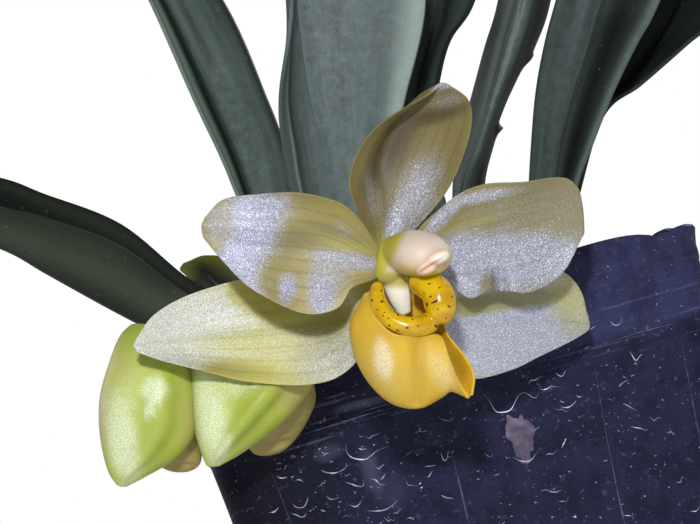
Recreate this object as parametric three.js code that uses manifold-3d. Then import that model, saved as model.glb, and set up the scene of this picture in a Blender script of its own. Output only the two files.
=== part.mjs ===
// A small orchid in a square plastic pot: two leaf fans, one open flower and two buds
// that hang over the front of the rim. Millimetres, +Z up, the pot's base on z = 0,
// the flower in front of the pot on the -Y side.
import * as THREE from "three";
import { mergeVertices } from "three/addons/utils/BufferGeometryUtils.js";
import Module from "manifold-3d";

const wasm = await Module();
wasm.setup();

// Driving dimensions
const POT_HEIGHT = 78; // to the straight rim, which its wave stands above
const POT_RIM = 73.4; // across the flats of the rim
const POT_BASE = 60; // across the flats of the base
const POT_WALL = 1.1;
const LEDGE_DROP = 13; // from the rim down to the lower step of the rim band
const BARK_DROP = 11; // from the rim down to the bark
const SEAT_GAP = 0.3; // clearance between pieces that touch
const LEAF_THICKNESS = 0.9;
const TEPAL_THICKNESS = 0.8;
const FLOWER_CENTRE = [-3.9, -61.3, POT_HEIGHT + 6];
const FACE_TILT = 3; // degrees that the flower looks down
const FACE_ROLL = 16; // degrees that the flower leans to the right, seen from the front
const LIP_THICKNESS = 0.9;
const SEED = 20;

// Small helpers
const rad = THREE.MathUtils.degToRad;
const lerp = THREE.MathUtils.lerp;
const vec = (p) => new THREE.Vector3(...p);

// A repeatable random number from 0 to 1.
function randomFrom(seed) {
  let state = seed;
  return () => {
    state = (state * 1664525 + 1013904223) % 4294967296;
    return state / 4294967296;
  };
}

// A smooth curve through the given points.
function curveThrough(points) {
  return new THREE.CatmullRomCurve3(points.map(vec), false, "catmullrom", 0.5);
}

// A smooth run of numbers through the given values, read at share t of its length.
function valueAt(values, t) {
  const curve = new THREE.SplineCurve(values.map((v, i) => new THREE.Vector2(i, v)));
  return curve.getPoint(THREE.MathUtils.clamp(t, 0, 1)).y;
}

// Closed solid through rings of points. A slab's ring runs along one face and back along the other.
function skin(rings, slab = false) {
  const count = rings[0].length;
  const points = rings.flat();
  const faces = [];
  const quad = (a, b, c, d) => faces.push(a, b, c, a, c, d);
  for (let r = 0; r + 1 < rings.length; r++)
    for (let i = 0; i < count; i++) {
      const j = (i + 1) % count;
      const [a, b, c, d] = [r * count + i, r * count + j, (r + 1) * count + j, (r + 1) * count + i];
      if (slab && i >= count / 2) quad(b, c, d, a);
      else quad(a, b, c, d);
    }
  [0, rings.length - 1].forEach((r, last) => {
    const start = r * count;
    if (slab) {
      for (let i = 0; i + 1 < count / 2; i++) {
        const [a, b, c, d] = [start + i, start + i + 1, start + count - 2 - i, start + count - 1 - i];
        if (last) quad(a, b, c, d);
        else quad(d, c, b, a);
      }
      return;
    }
    const middle = rings[r].reduce((sum, p) => sum.add(p), new THREE.Vector3()).divideScalar(count);
    const centre = points.push(middle) - 1;
    for (let i = 0; i < count; i++) {
      const j = (i + 1) % count;
      if (last) faces.push(centre, start + i, start + j);
      else faces.push(centre, start + j, start + i);
    }
  });
  let volume = 0;
  const cross = new THREE.Vector3();
  for (let i = 0; i < faces.length; i += 3)
    volume += points[faces[i]].dot(cross.crossVectors(points[faces[i + 1]], points[faces[i + 2]]));
  if (volume < 0) faces.reverse();
  return new THREE.BufferGeometry().setFromPoints(points).setIndex(faces);
}

// A thin blade laid through three rails: one margin, the midrib and the other margin.
// fold 2 gives a round trough and fold 1 a sharp V. ripple(u, t) moves the surface along its normal.
function blade({ rails, fold = 2, thickness = TEPAL_THICKNESS, columns = 6, rows = 12, ripple = () => 0 }) {
  const lines = rails.map((points) => curveThrough(points).getSpacedPoints(rows));
  const at = (r, u) => {
    const [left, middle, right] = lines.map((line) => line[r]);
    const rise = left.clone().add(right).multiplyScalar(0.5).sub(middle);
    const across = right.clone().sub(left).multiplyScalar(u / 2);
    return middle.clone().add(across).addScaledVector(rise, Math.abs(u) ** fold);
  };
  const grid = [];
  for (let r = 0; r <= rows; r++)
    grid.push(Array.from({ length: columns + 1 }, (_, c) => at(r, (2 * c) / columns - 1)));
  const normalAt = (r, c) => {
    const along = grid[Math.min(r + 1, rows)][c].clone().sub(grid[Math.max(r - 1, 0)][c]);
    const across = grid[r][Math.min(c + 1, columns)].clone().sub(grid[r][Math.max(c - 1, 0)]);
    return across.cross(along).normalize();
  };
  const normals = grid.map((row, r) => row.map((_, c) => normalAt(r, c)));
  const rings = grid.map((row, r) => {
    const face = (side) =>
      row.map((p, c) => {
        const wave = ripple((2 * c) / columns - 1, r / rows);
        return p.clone().addScaledVector(normals[r][c], wave + (side * thickness) / 2);
      });
    return [...face(1), ...face(-1).reverse()];
  });
  return skin(rings, true);
}

// A round or oval body along a path. sizes holds one radius, or [across, up], for each station.
function limb({ path, sizes, grow = 0, sides = 10, steps = 12, up = [0, 0, 1], outline = () => 1 }) {
  const curve = curveThrough(path);
  const across = sizes.map((s) => (Array.isArray(s) ? s[0] : s));
  const upward = sizes.map((s) => (Array.isArray(s) ? s[1] : s));
  const rings = [];
  for (let k = 0; k <= steps; k++) {
    const t = k / steps;
    const centre = curve.getPoint(t);
    const tangent = curve.getTangent(t);
    if (k === 0) centre.addScaledVector(tangent, -grow);
    if (k === steps) centre.addScaledVector(tangent, grow);
    const side = tangent.clone().cross(vec(up)).normalize();
    const top = side.clone().cross(tangent);
    rings.push(
      Array.from({ length: sides }, (_, i) => {
        const angle = (2 * Math.PI * i) / sides;
        const swell = outline(angle, t);
        return centre
          .clone()
          .addScaledVector(side, Math.cos(angle) * (valueAt(across, t) * swell + grow))
          .addScaledVector(top, Math.sin(angle) * (valueAt(upward, t) * swell + grow));
      }),
    );
  }
  return skin(rings);
}

// A closed body between two side lines, with its bulge to the front and to the back at each station.
function pod({ left, right, front, back, grow = 0, sides = 14, steps = 14 }) {
  const [leftLine, rightLine] = [left, right].map(curveThrough);
  const rings = [];
  for (let k = 0; k <= steps; k++) {
    const t = k / steps;
    const middle = leftLine.getPoint(t).add(rightLine.getPoint(t)).multiplyScalar(0.5);
    const across = rightLine.getPoint(t).sub(leftLine.getPoint(t)).multiplyScalar(0.5);
    const tangent = leftLine.getTangent(t).add(rightLine.getTangent(t)).normalize();
    const outward = tangent.clone().cross(across).normalize();
    if (k === 0) middle.addScaledVector(tangent, -grow);
    if (k === steps) middle.addScaledVector(tangent, grow);
    across.setLength(across.length() + grow);
    rings.push(
      Array.from({ length: sides }, (_, i) => {
        const angle = (2 * Math.PI * i) / sides;
        const bulge = valueAt(Math.sin(angle) > 0 ? front : back, t) + grow;
        const point = middle.clone().addScaledVector(across, Math.cos(angle));
        return point.addScaledVector(outward, Math.sin(angle) * bulge);
      }),
    );
  }
  return skin(rings);
}

// Joining and cutting
function solid(geometry) {
  const bare = geometry.clone();
  bare.deleteAttribute("normal");
  bare.deleteAttribute("uv");
  const merged = mergeVertices(bare, 1e-4);
  const vertProperties = merged.attributes.position.array;
  const triVerts = new Uint32Array(merged.index.array);
  return new wasm.Manifold(new wasm.Mesh({ numProp: 3, vertProperties, triVerts }));
}

// The largest body of a solid, as a geometry: a loose scrap left by a cut is dropped.
function geometryOf(body) {
  const largest = body.decompose().reduce((a, b) => (b.volume() > a.volume() ? b : a));
  const mesh = largest.getMesh();
  const points = [];
  for (let i = 0; i < mesh.numVert; i++)
    points.push(vec(mesh.vertProperties.subarray(i * mesh.numProp, i * mesh.numProp + 3)));
  return new THREE.BufferGeometry().setFromPoints(points).setIndex(Array.from(mesh.triVerts));
}

const unite = (geometries) => geometries.map(solid).reduce((a, b) => a.add(b));
const cutFrom = (body, tools) => geometryOf(tools.reduce((left, tool) => left.subtract(solid(tool)), body));
const cut = (geometry, tools) => cutFrom(solid(geometry), tools);

// Finishes
const finish = (color, roughness) => new THREE.MeshStandardMaterial({ color, roughness, metalness: 0 });
const FINISHES = {
  pot: finish("#20212f", 0.3),
  bark: finish("#5a3d28", 0.95),
  crown: finish("#6c7a3c", 0.7),
  leaf: finish("#4a5f4b", 0.45),
  stem: finish("#8fa04a", 0.55),
  sepal: finish("#c9cba0", 0.4),
  petal: finish("#c8c8ae", 0.4),
  lip: finish("#e6b52a", 0.35),
  callus: finish("#f0c012", 0.3),
  column: finish("#e2d9b4", 0.4),
  anther: finish("#f0cdb8", 0.4),
  bud: finish("#b4c95c", 0.4),
};

const plant = new THREE.Group();
function place(name, geometry, material, parent = plant) {
  const mesh = new THREE.Mesh(geometry, FINISHES[material]);
  mesh.name = name;
  parent.add(mesh);
}

// Pot: one thin wall, square with round corners, stepped rim band and a shallow panel in each side
const CORNER_RADIUS = 5;
const PANEL_LEFT = 7.6; // from the left corner of a side to its panel
const PANEL_RIGHT = 15; // from the right corner of a side to its panel
const PANEL_DEPTH = 0.5;
const PANEL_STEP = 0.4; // width of the crease at a panel's edge
const RIM_WAVE = 1.8; // how far the soft rim rises
const RIM_BOW = 0.3; // its bow outwards, as a share of its rise
const WAVE_LENGTH = 14; // mm of rim for each radian of the wave
const CORNER_NUB = 0.9; // how far the rim's corners stand up

// One ring of the pot's wall at height z. half is half of its width across the flats.
function potRing({ z, half, panel = 0, wave = 0, inset = 0 }) {
  const flat = half - CORNER_RADIUS;
  const [left, right] = [PANEL_LEFT - half, half - PANEL_RIGHT];
  const along = [-flat, left - PANEL_STEP, left, (left + right) / 2, right, right + PANEL_STEP];
  along.push((right + flat) / 2, flat);
  const ring = [];
  for (let side = 0; side < 4; side++) {
    const put = (s, out, rise) => {
      const point = new THREE.Vector3(s, -out, z + rise);
      ring.push(point.applyAxisAngle(new THREE.Vector3(0, 0, 1), (side * Math.PI) / 2));
    };
    for (const s of along) {
      const phase = s / WAVE_LENGTH + side * 1.9;
      const fade = 1 - (s / flat) ** 16;
      const sunk = s >= left && s <= right ? panel : 0;
      const bow = wave * RIM_BOW * Math.sin(phase * 1.3) * fade;
      put(s, half - inset - sunk + bow, wave * Math.sin(phase) * fade);
    }
    for (const turn of [30, 60].map(rad)) {
      const reach = CORNER_RADIUS - inset + wave * RIM_BOW;
      const rise = (wave / RIM_WAVE) * CORNER_NUB;
      put(flat + reach * Math.sin(turn), flat + reach * Math.cos(turn), rise);
    }
  }
  return ring;
}

const LEDGE = POT_HEIGHT - LEDGE_DROP;
const LEDGE_WIDTH = 0.5; // how far the rim band stands out past the wall below it
const LIP_DROP = 4; // from the rim down to the small step above the band
const halfAt = (z) => lerp(POT_BASE, POT_RIM - 1.8, z / LEDGE) / 2;
const BAND_HALF = halfAt(LEDGE) + LEDGE_WIDTH;
const POT_SHAPE = [
  { z: 0, half: POT_BASE / 2 - 0.8 },
  { z: 1, half: halfAt(1) },
  { z: 5, half: halfAt(5) },
  { z: 6.5, half: halfAt(6.5), panel: PANEL_DEPTH },
  { z: LEDGE - 3, half: halfAt(LEDGE - 3), panel: PANEL_DEPTH },
  { z: LEDGE - 1.4, half: halfAt(LEDGE - 1.4) },
  { z: LEDGE, half: halfAt(LEDGE) },
  { z: LEDGE + 0.5, half: BAND_HALF },
  { z: POT_HEIGHT - LIP_DROP, half: BAND_HALF },
  { z: POT_HEIGHT - LIP_DROP + 0.5, half: BAND_HALF + 0.3 },
  { z: POT_HEIGHT, half: POT_RIM / 2, wave: RIM_WAVE },
];

const FLOOR_TOP = POT_WALL + 0.4;
function potGeometry() {
  const outside = POT_SHAPE.map(potRing);
  const inside = POT_SHAPE.slice(1)
    .reverse()
    .map((ring) => potRing({ ...ring, inset: POT_WALL, z: Math.max(ring.z, FLOOR_TOP) }));
  return skin([...outside, ...inside]);
}

// Drain holes near the corners and a slot at the foot of each side
const DRAIN = { radius: 3.2, fromEdge: 9, slot: [12, 4], slotFromEdge: 8 };
function drainHoles() {
  const holes = [];
  const middle = POT_BASE / 2;
  const deep = 4 * POT_WALL;
  for (let side = 0; side < 4; side++) {
    const turn = (side * Math.PI) / 2;
    const corner = new THREE.CylinderGeometry(DRAIN.radius, DRAIN.radius, deep, 10).rotateX(Math.PI / 2);
    const slot = new THREE.BoxGeometry(...DRAIN.slot, deep).translate(0, DRAIN.slotFromEdge - middle, 0);
    const out = middle - DRAIN.fromEdge;
    holes.push(corner.translate(out, out, 0).rotateZ(turn), slot.rotateZ(turn));
  }
  return holes;
}
place("pot", cut(potGeometry(), drainHoles()), "pot");

// Leaf fans: where each fan's short stem stands in the bark, and the roots that leave it
const FAN_LEFT = [-17, -2];
const FAN_RIGHT = [9, 2];
const BARK_TOP = POT_HEIGHT - BARK_DROP;
const crownOf = ([x, y], grow = 0) =>
  limb({
    path: [[x, y, BARK_TOP - 26], [x, y, BARK_TOP - 8], [x, y, BARK_TOP + 3], [x, y, BARK_TOP + 7]],
    sizes: [[2.4, 2], [3.4, 2.8], [3.6, 2.6], [2.4, 1.8]],
    up: [0, 1, 0],
    steps: 8,
    grow,
  });

// A root that leaves its crown at angle turn, lies on the bark and dives in at its end
const rootOf = ([x, y], turn, reach, grow = 0) => {
  const [c, s] = [Math.cos(rad(turn)), Math.sin(rad(turn))];
  const out = (r, rise) => [x + r * c, y + r * s, BARK_TOP + rise];
  return limb({
    path: [out(1, 0), out(4, 2), out(reach * 0.55, 2.4), out(reach * 0.85, 0.6), out(reach, -9)],
    sizes: [1.3, 1.3, 1.2, 1.1, 0.7],
    sides: 7,
    steps: 9,
    up: [s, -c, 0.01],
    grow,
  });
};

// Each fan's roots, as [degrees round the crown, reach]
const ROOTS_LEFT = [[115, 17], [190, 13]];
const ROOTS_RIGHT = [[62, 16], [300, 14], [335, 17]];
const fanBodies = (fan, roots, grow) => [
  crownOf(fan, grow),
  ...roots.map((root) => rootOf(fan, ...root, grow)),
];
place("fan_left_crown", geometryOf(unite(fanBodies(FAN_LEFT, ROOTS_LEFT))), "crown");
place("fan_right_crown", geometryOf(unite(fanBodies(FAN_RIGHT, ROOTS_RIGHT))), "crown");

// The lower part of each flower stalk, from the bark over the rim: [x, y, height over the rim]
const STALKS = {
  flower: [[-15, -6.9, -14], [-14.7, -9, -7], [-13.2, -16, 1.2], [-11, -27, 5.6], [-8, -40, 8.4]],
  bud_left: [[-21.6, -6.6, -14], [-22, -9.4, -7], [-23.6, -17, 0.4], [-27, -27, 5], [-31, -38, 7.6]],
  bud_right: [[-18.3, -7.6, -14], [-18.3, -10, -7], [-18.6, -18, 0], [-19.6, -30, 3.6], [-21.4, -39, 4.4]],
};
const liftAll = (points) => points.map(([x, y, z]) => [x, y, z + POT_HEIGHT]);

// Bark: a bed that fills the pot, with chips fused into its top
const BED_HALF = 32; // half of the bark's width at its top
const BED_FOOT = 2; // height of the bed's underside over the surface that the pot stands on
const CHIP_ROWS = 3; // rows of chips on each side of the middle one
const CHIP_SIZE = [6.4, 5, 2.6];
const CHIP_SPREAD = [3, 2.4, 1]; // how much larger a chip may be
const CHIP_TILT = 0.3; // radians
const CHIP_REACH = BED_HALF - 4.6;
const HOLE_GAP = 0.4; // clearance of a crown or root in the bark
const STALK_HOLE = 1.9; // radius

function barkChips() {
  const random = randomFrom(SEED);
  const swing = () => random() * 2 - 1;
  const spread = (step) => {
    const place = (step / CHIP_ROWS) * CHIP_REACH + swing() * 1.6;
    return THREE.MathUtils.clamp(place, -CHIP_REACH, CHIP_REACH);
  };
  const chips = [];
  for (let row = -CHIP_ROWS; row <= CHIP_ROWS; row++)
    for (let column = -CHIP_ROWS; column <= CHIP_ROWS; column++) {
      const chip = new THREE.BoxGeometry(...CHIP_SIZE.map((size, i) => size + random() * CHIP_SPREAD[i]));
      chip.rotateX(swing() * CHIP_TILT).rotateY(swing() * CHIP_TILT).rotateZ(random() * Math.PI);
      chips.push(chip.translate(spread(column), spread(row), BARK_TOP - 1 + random() * 1.2));
    }
  return chips;
}

function barkGeometry() {
  const inside = (z, height = z) =>
    potRing({ z: height, half: halfAt(z) - PANEL_DEPTH - SEAT_GAP, inset: POT_WALL });
  const bed = skin([inside(BED_FOOT), inside(LEDGE - 1), inside(LEDGE, BARK_TOP - 1.4)]);
  const stalkHole = (stalk) =>
    limb({ path: liftAll(stalk.slice(0, 3)), sizes: [STALK_HOLE], sides: 6, steps: 4, up: [1, 0, 0] });
  const holes = [
    ...fanBodies(FAN_LEFT, ROOTS_LEFT, HOLE_GAP),
    ...fanBodies(FAN_RIGHT, ROOTS_RIGHT, HOLE_GAP),
    ...Object.values(STALKS).map(stalkHole),
  ];
  return cutFrom(unite([bed, ...barkChips()]), holes);
}
place("potting_bark", barkGeometry(), "bark");

// Leaves, each by its two margins and its midrib from the crown to the tip: [x, y, height over the rim]
const LEAVES = {
  fan_left_leaf_1: {
    left: [
      [-20.6, -5.4, -5], [-28, -7.6, 5], [-34.8, -8, 12.7], [-42.1, -11, 21.9], [-51.8, -12, 29],
      [-57.2, -11, 32.1], [-71, -12, 41], [-87, -13, 46], [-101, -11, 46.4],
    ],
    middle: [
      [-22.6, -4, -6.5], [-28.8, -5.4, -1], [-34.9, -6, 3.9], [-41.6, -7, 10], [-53.2, -6, 21.3],
      [-59.7, -5, 27.3], [-73, -6.4, 36], [-88, -9, 42], [-101.4, -11, 45.8],
    ],
    right: [
      [-20.8, -2.2, -4.6], [-28.4, -1.2, 8], [-34.8, 0, 15.6], [-42, 0, 25.7], [-52, 1, 33.3],
      [-58.1, 2, 37.8], [-72, 0.8, 45], [-88, -4, 48.4], [-101, -10.6, 46.6],
    ],
  },
  fan_left_leaf_2: {
    left: [
      [-20.8, -1.2, -6], [-22, -2, 10], [-23.3, -3, 24.4], [-23.9, -4, 31], [-25.1, -5, 38.9],
      [-27.9, -5, 56.7], [-32.5, 1, 76], [-38.4, 16, 95],
    ],
    middle: [
      [-22, 0.8, -6.5], [-21.4, 2, 10], [-21.5, 1, 24.5], [-21.8, 1, 31], [-22.9, 1, 38.9],
      [-26.2, 1, 57.3], [-30.6, 7, 76.6], [-38.2, 16.4, 96],
    ],
    right: [
      [-20.6, 2.4, -5], [-18.2, 1.4, 9], [-16.2, -1.6, 23.2], [-14.9, -1.8, 29.5],
      [-14.9, -2, 37.5], [-17.4, -2, 54.2], [-25, 5, 75], [-37.8, 16.6, 95.4],
    ],
  },
  fan_left_leaf_3: {
    left: [
      [-15, -5.2, -5], [-15.2, -5.4, 9], [-15.4, -6, 22.3], [-14.4, -8, 29.5], [-12.7, -10, 36.4],
      [-7.3, -12, 49.4], [-4, -10, 68], [1, 0, 89], [9.2, 13, 109],
    ],
    middle: [
      [-13.3, -2.7, -6], [-10.8, -3.2, 8], [-9.5, -3, 20.6], [-8.6, -3, 28.4], [-8.6, -3, 36.2],
      [-6.6, -3, 50.9], [-2.5, 1, 70], [3, 8, 91], [9.5, 13.6, 110],
    ],
    right: [
      [-13, -5, -4.6], [-7.4, -6, 6], [-3.1, -6, 17.9], [1.4, -7, 24.9], [5, -7, 31.4],
      [12, -7, 44.8], [15.5, -3, 63], [14.5, 6, 87], [10, 13.2, 109],
    ],
  },
  fan_left_leaf_8: {
    left: [[-20.5, 3.1, -5.4], [-25, 4.8, 0.8], [-31, 5, 7.6], [-34.6, 6, 13.4]],
    middle: [[-19.4, 4.3, -5.6], [-25.4, 7.4, 2.6], [-30.6, 8, 10.4], [-34.8, 6.6, 14.2]],
    right: [[-17.8, 3.7, -5], [-21.6, 9, 8], [-27.4, 9.4, 16.6], [-34.4, 7.2, 15]],
  },
  fan_right_leaf_4: {
    left: [
      [5.2, 3, -6], [0.6, 6, 12], [2.3, 7, 28.8], [4.4, 8, 36.1], [6.9, 9, 42.6], [8.9, 9, 48.6],
      [14, 11, 66], [25, 17, 83], [36, 26, 97],
    ],
    middle: [
      [6.4, 4.3, -6.5], [4, 8, 12], [5.8, 9, 28], [8.4, 11, 35.3], [12.3, 12, 41.8],
      [14.9, 12, 47.4], [21, 14.6, 64], [30, 19.5, 81], [36.4, 26.6, 97.5],
    ],
    right: [
      [7.8, 4.8, -6], [7.2, 7.6, 12], [8, 8, 27.3], [11.7, 9, 34.1], [15.5, 10, 40.1],
      [20.7, 9, 45.2], [28, 12.6, 60], [34.5, 18.5, 79], [36.8, 26.2, 97],
    ],
    waves: 0.7,
  },
  fan_right_leaf_5: {
    left: [
      [7.4, -0.6, -5], [6.2, -1.4, 6], [8.6, -1, 16.2], [11.4, -1, 22.8], [14.9, -1, 29.1],
      [19, -1, 36.1], [23.2, -1, 42.6], [30, -3, 56], [38, -12, 70],
    ],
    middle: [
      [9.2, -1.4, -5.4], [8.2, -4, 6], [9.9, -4, 15.7], [13.9, -5, 21.7], [17.8, -6, 27.6],
      [22.3, -6, 34.4], [26.2, -6, 40.9], [33, -8, 54.6], [38.4, -12.4, 70.6],
    ],
    right: [
      [11, -0.6, -5], [10.8, -1.4, 6], [12.9, -1, 15.3], [16, -1, 21.5], [20.1, -1, 27.6],
      [26, -1, 34.1], [30.7, -1, 40.5], [37, -3.4, 54], [38.8, -11.8, 70],
    ],
  },
  fan_right_leaf_6: {
    left: [
      [13.6, -1.8, -6], [17, -2.4, 6], [19.7, -3, 14.4], [21.5, -4, 19.5], [24.4, -5, 27],
      [27.6, -6, 33.4], [31.2, -6, 39.4], [41, -8, 55], [53, -11, 69], [66, -14, 81],
    ],
    middle: [
      [13.6, 0, -6.6], [19.2, -1.4, 5], [23.4, -2, 13.4], [25.8, -2, 18.4], [29.9, -3, 25.7],
      [34.1, -3, 32], [37.9, -3, 38], [47.5, -6.4, 52], [57.5, -9.6, 66], [66.4, -13.6, 81.6],
    ],
    right: [
      [15, -1.4, -5.4], [22, -3, 4], [26.7, -4, 12.3], [30.1, -5, 16.9], [35.4, -6, 23.7],
      [40.5, -7, 29.5], [45.7, -7, 35], [55.5, -10.6, 49], [63, -13, 65], [66.9, -13.8, 81],
    ],
  },
  fan_right_leaf_7: {
    left: [
      [12.8, 2.4, -5.6], [22, 5.6, 8], [30.7, 7, 21.4], [35.6, 8, 26.7], [41.9, 8, 31.5],
      [46.9, 8, 37.4], [58, 13, 50], [72, 22, 59],
    ],
    middle: [
      [12.9, 4.2, -6.2], [23.6, 7, 8], [32.8, 8, 21.5], [39.2, 10, 26], [46.2, 11, 30.7],
      [52, 11, 36.5], [61, 16, 47], [72.4, 22.4, 58.6],
    ],
    right: [
      [14.6, 3.5, -5.6], [25.4, 5.4, 8], [34.4, 6, 21.6], [41.7, 7, 25.1], [50.2, 7, 29.2],
      [58.4, 6, 33.1], [66, 13, 44], [72.8, 22, 58],
    ],
  },
};
for (const [name, { left, middle, right, waves = 0 }] of Object.entries(LEAVES)) {
  const rails = [left, middle, right].map(liftAll);
  const ripple = (u, t) => waves * u * u * Math.sin(t * 17 + u) * Math.sin(Math.PI * t);
  place(name, blade({ rails, fold: 1.35, thickness: LEAF_THICKNESS, rows: 16, ripple }), "leaf");
}

// What hangs on a flower stalk faces the front: x to the right, y up and z to the viewer,
// from the flower's centre
const face = new THREE.Group();
face.position.set(...FLOWER_CENTRE);
face.rotation.set(rad(90 + FACE_TILT), 0, rad(-FACE_ROLL));
plant.add(face);
face.updateMatrixWorld(true);
const toFace = new THREE.Matrix4().copy(face.matrixWorld).invert();

// Flower stalk: from the side of the left fan over the rim to the back of the flower
const HUB = [-1.2, -0.5, -4.2];
const HUB_RADIUS = 2.2;
const stalkPath = (name, end) => {
  const lower = liftAll(STALKS[name]).map((p) => vec(p).applyMatrix4(toFace).toArray());
  return [...lower, ...end];
};
const flowerStalk = limb({
  path: stalkPath("flower", [[-1.9, 0.4, -14], [-1.4, -0.3, -7], HUB]),
  sizes: [1.4, 1.4, 1.3, 1.3, 1.3, 1.5, 1.9, HUB_RADIUS],
  sides: 9,
  steps: 26,
  up: [1, 0, 0],
});
place("flower_stalk", flowerStalk, "stem", face);

// Column: a stout club that points at the viewer, with a foot that reaches down to the lip
const columnClub = (grow = 0) =>
  limb({
    path: [
      [-1, 0.1, -1.5], [-0.6, 0.5, 0.5], [0.4, 0.7, 2.5], [1.8, 0.7, 4.3], [3.2, 0.4, 5.8],
      [4.4, -0.1, 7], [5.3, -0.7, 7.9],
    ],
    sizes: [[2.1, 2], [2.4, 2.5], [3, 2.8], [3.6, 2.9], [3.6, 2.7], [2.8, 2.2], [1.2, 1.1]],
    up: [0, 1, 0],
    sides: 14,
    steps: 12,
    grow,
  });
const columnFoot = (grow = 0) =>
  limb({
    path: [[-0.4, -0.6, 0.6], [0.2, -2.6, 1], [1, -5, 0.8], [1.8, -7, 0.4]],
    sizes: [[1.8, 1.3], [1.9, 1.3], [1.3, 1], [0.6, 0.7]],
    sides: 8,
    steps: 6,
    grow,
  });
place("column", geometryOf(unite([columnClub(), columnFoot()])), "column", face);

// Anther cap: two small lobes that meet on the end of the column
const ANTHER_LOBES = [
  [[2.6, -1.2, 7.4], [3.5, -0.7, 8.6], [4.5, -0.2, 9.1]],
  [[3.5, -0.4, 8.4], [4.6, 0.1, 9.1], [5.7, 0.5, 8.6]],
];
const antherLobe = (path) => limb({ path, sizes: [0.6, 1, 0.5], sides: 8, steps: 4 });
place("anther_cap", cutFrom(unite(ANTHER_LOBES.map(antherLobe)), [columnClub(SEAT_GAP)]), "anther", face);

// Sepals and petals, each by its two margins and its midrib from the hub to the tip
const hub = (grow) =>
  limb({
    path: [[-1.35, -0.3, -8], [-1.3, -0.4, -6], HUB],
    sizes: [1.9, 2, HUB_RADIUS],
    up: [0, 1, 0],
    steps: 4,
    grow,
  });
const ripples = (height, count) => (u, t) =>
  height * u * u * Math.sin(count * Math.PI * t + u * 1.5) * Math.sin(Math.PI * t);
const TEPALS = {
  dorsal_sepal: {
    material: "sepal",
    rails: [
      [
        [-1.9, 1.7, -4], [-4.2, 5, -2.4], [-6.2, 9.2, -1.4], [-5.3, 13, -0.6], [-2.6, 16.4, 0.6],
        [1.6, 19.4, 1.8], [5, 21.5, 2.2],
      ],
      [
        [-1, 1.2, -4.6], [-0.6, 5.5, -4.8], [0.3, 10, -5], [1.4, 13.8, -4.6], [3.2, 17.2, -3.2],
        [5, 19.8, -0.6], [5.9, 21.7, 2],
      ],
      [
        [0.2, 1.6, -4.2], [2.8, 4.2, -3.6], [6.2, 8.6, -3], [8.3, 12.8, -2.2], [9.4, 17, -1],
        [8.8, 20, 0.8], [6.9, 21.6, 1.9],
      ],
    ],
    fold: 2,
    ripple: ripples(0.25, 3),
  },
  petal_left: {
    material: "petal",
    rails: [
      [
        [-2, 0.9, -3], [-4.2, 4.2, -1.6], [-7.2, 7, -0.6], [-11.6, 8.1, 0], [-16.8, 8, 0.4],
        [-21.5, 7.3, 0.5], [-23.9, 5, 0.2],
      ],
      [
        [-2, -0.8, -3.3], [-7, 0.4, -2.6], [-11.5, 1, -2.2], [-16, 1.4, -1.6], [-20, 2.2, -0.8],
        [-22.8, 3, -0.3], [-24.2, 3.7, -0.2],
      ],
      [
        [-2.2, -2.3, -3], [-5.6, -4, -1.8], [-7.6, -6.4, -0.4], [-12.5, -6.5, 0.3],
        [-17.5, -4.6, 0.4], [-21.6, -0.8, 0.2], [-24.1, 2.4, 0],
      ],
    ],
    fold: 2,
    ripple: ripples(0.4, 5),
  },
  petal_right: {
    material: "petal",
    rails: [
      [
        [0.3, 0.9, -3.4], [4.2, 4.7, -2.8], [8.4, 7.7, -2.2], [13.4, 9.1, -2.8], [18.2, 10.1, -4],
        [21.4, 10.1, -5], [23, 8.8, -5.8],
      ],
      [
        [0.4, -0.6, -3.6], [5.5, 1.4, -4.4], [10.5, 2.4, -5.2], [15, 3.4, -6], [19, 4.6, -6.6],
        [21.8, 5.6, -6.6], [23.6, 6.5, -6.5],
      ],
      [
        [0.2, -2, -3.4], [6.4, -3.4, -3.8], [9.2, -5.1, -3.9], [12.3, -3.7, -4.9],
        [16.2, -4.4, -5.2], [20.8, -2, -6], [23.8, 3.2, -6.6],
      ],
    ],
    fold: 2,
    ripple: ripples(0.3, 4),
  },
  lateral_sepal_left: {
    material: "sepal",
    rails: [
      [
        [-1.4, -2.6, -5.2], [-8, -1.6, -5.6], [-15, -1.8, -5.4], [-21, -2.9, -4.6],
        [-26.5, -4.7, -3.4], [-30.5, -7.2, -2.2], [-32.4, -10.2, -1.3],
      ],
      [
        [-1, -4.6, -4.6], [-9, -7.6, -6.4], [-15, -8.6, -6.6], [-21, -9.2, -5.8],
        [-26.5, -9.9, -4.4], [-30.4, -10.5, -2.6], [-32.8, -10.9, -1.3],
      ],
      [
        [-0.6, -6.8, -4], [-6, -14, -5.2], [-11, -16, -5], [-18, -15.5, -4.4], [-24, -14.1, -3.6],
        [-29.6, -13.1, -2.2], [-32.4, -11.6, -1.3],
      ],
    ],
    fold: 2,
    ripple: ripples(0.3, 3),
  },
  lateral_sepal_right: {
    material: "sepal",
    rails: [
      [
        [0.2, -2.6, -5.4], [7, -1.8, -7.6], [13, -1.2, -9.8], [18.5, -1.2, -12], [22, -1.8, -14],
        [24.3, -4.2, -15.4], [25.3, -7.8, -16],
      ],
      [
        [0.6, -4.6, -5], [7, -6.6, -8.4], [13, -7.2, -11.2], [18, -7.5, -13.6], [21.8, -8, -15.2],
        [24.2, -8.4, -16], [25.6, -8.7, -16.3],
      ],
      [
        [0.9, -6.8, -4.4], [4, -12.5, -6.4], [9, -15.3, -8.6], [14.5, -14.5, -11.2],
        [19, -12.6, -13.6], [23, -10.8, -15.3], [25.3, -9.5, -16.2],
      ],
    ],
    fold: 2,
    ripple: ripples(0.3, 3),
  },
};
const columnSeats = [columnClub(SEAT_GAP), columnFoot(SEAT_GAP)];
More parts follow.
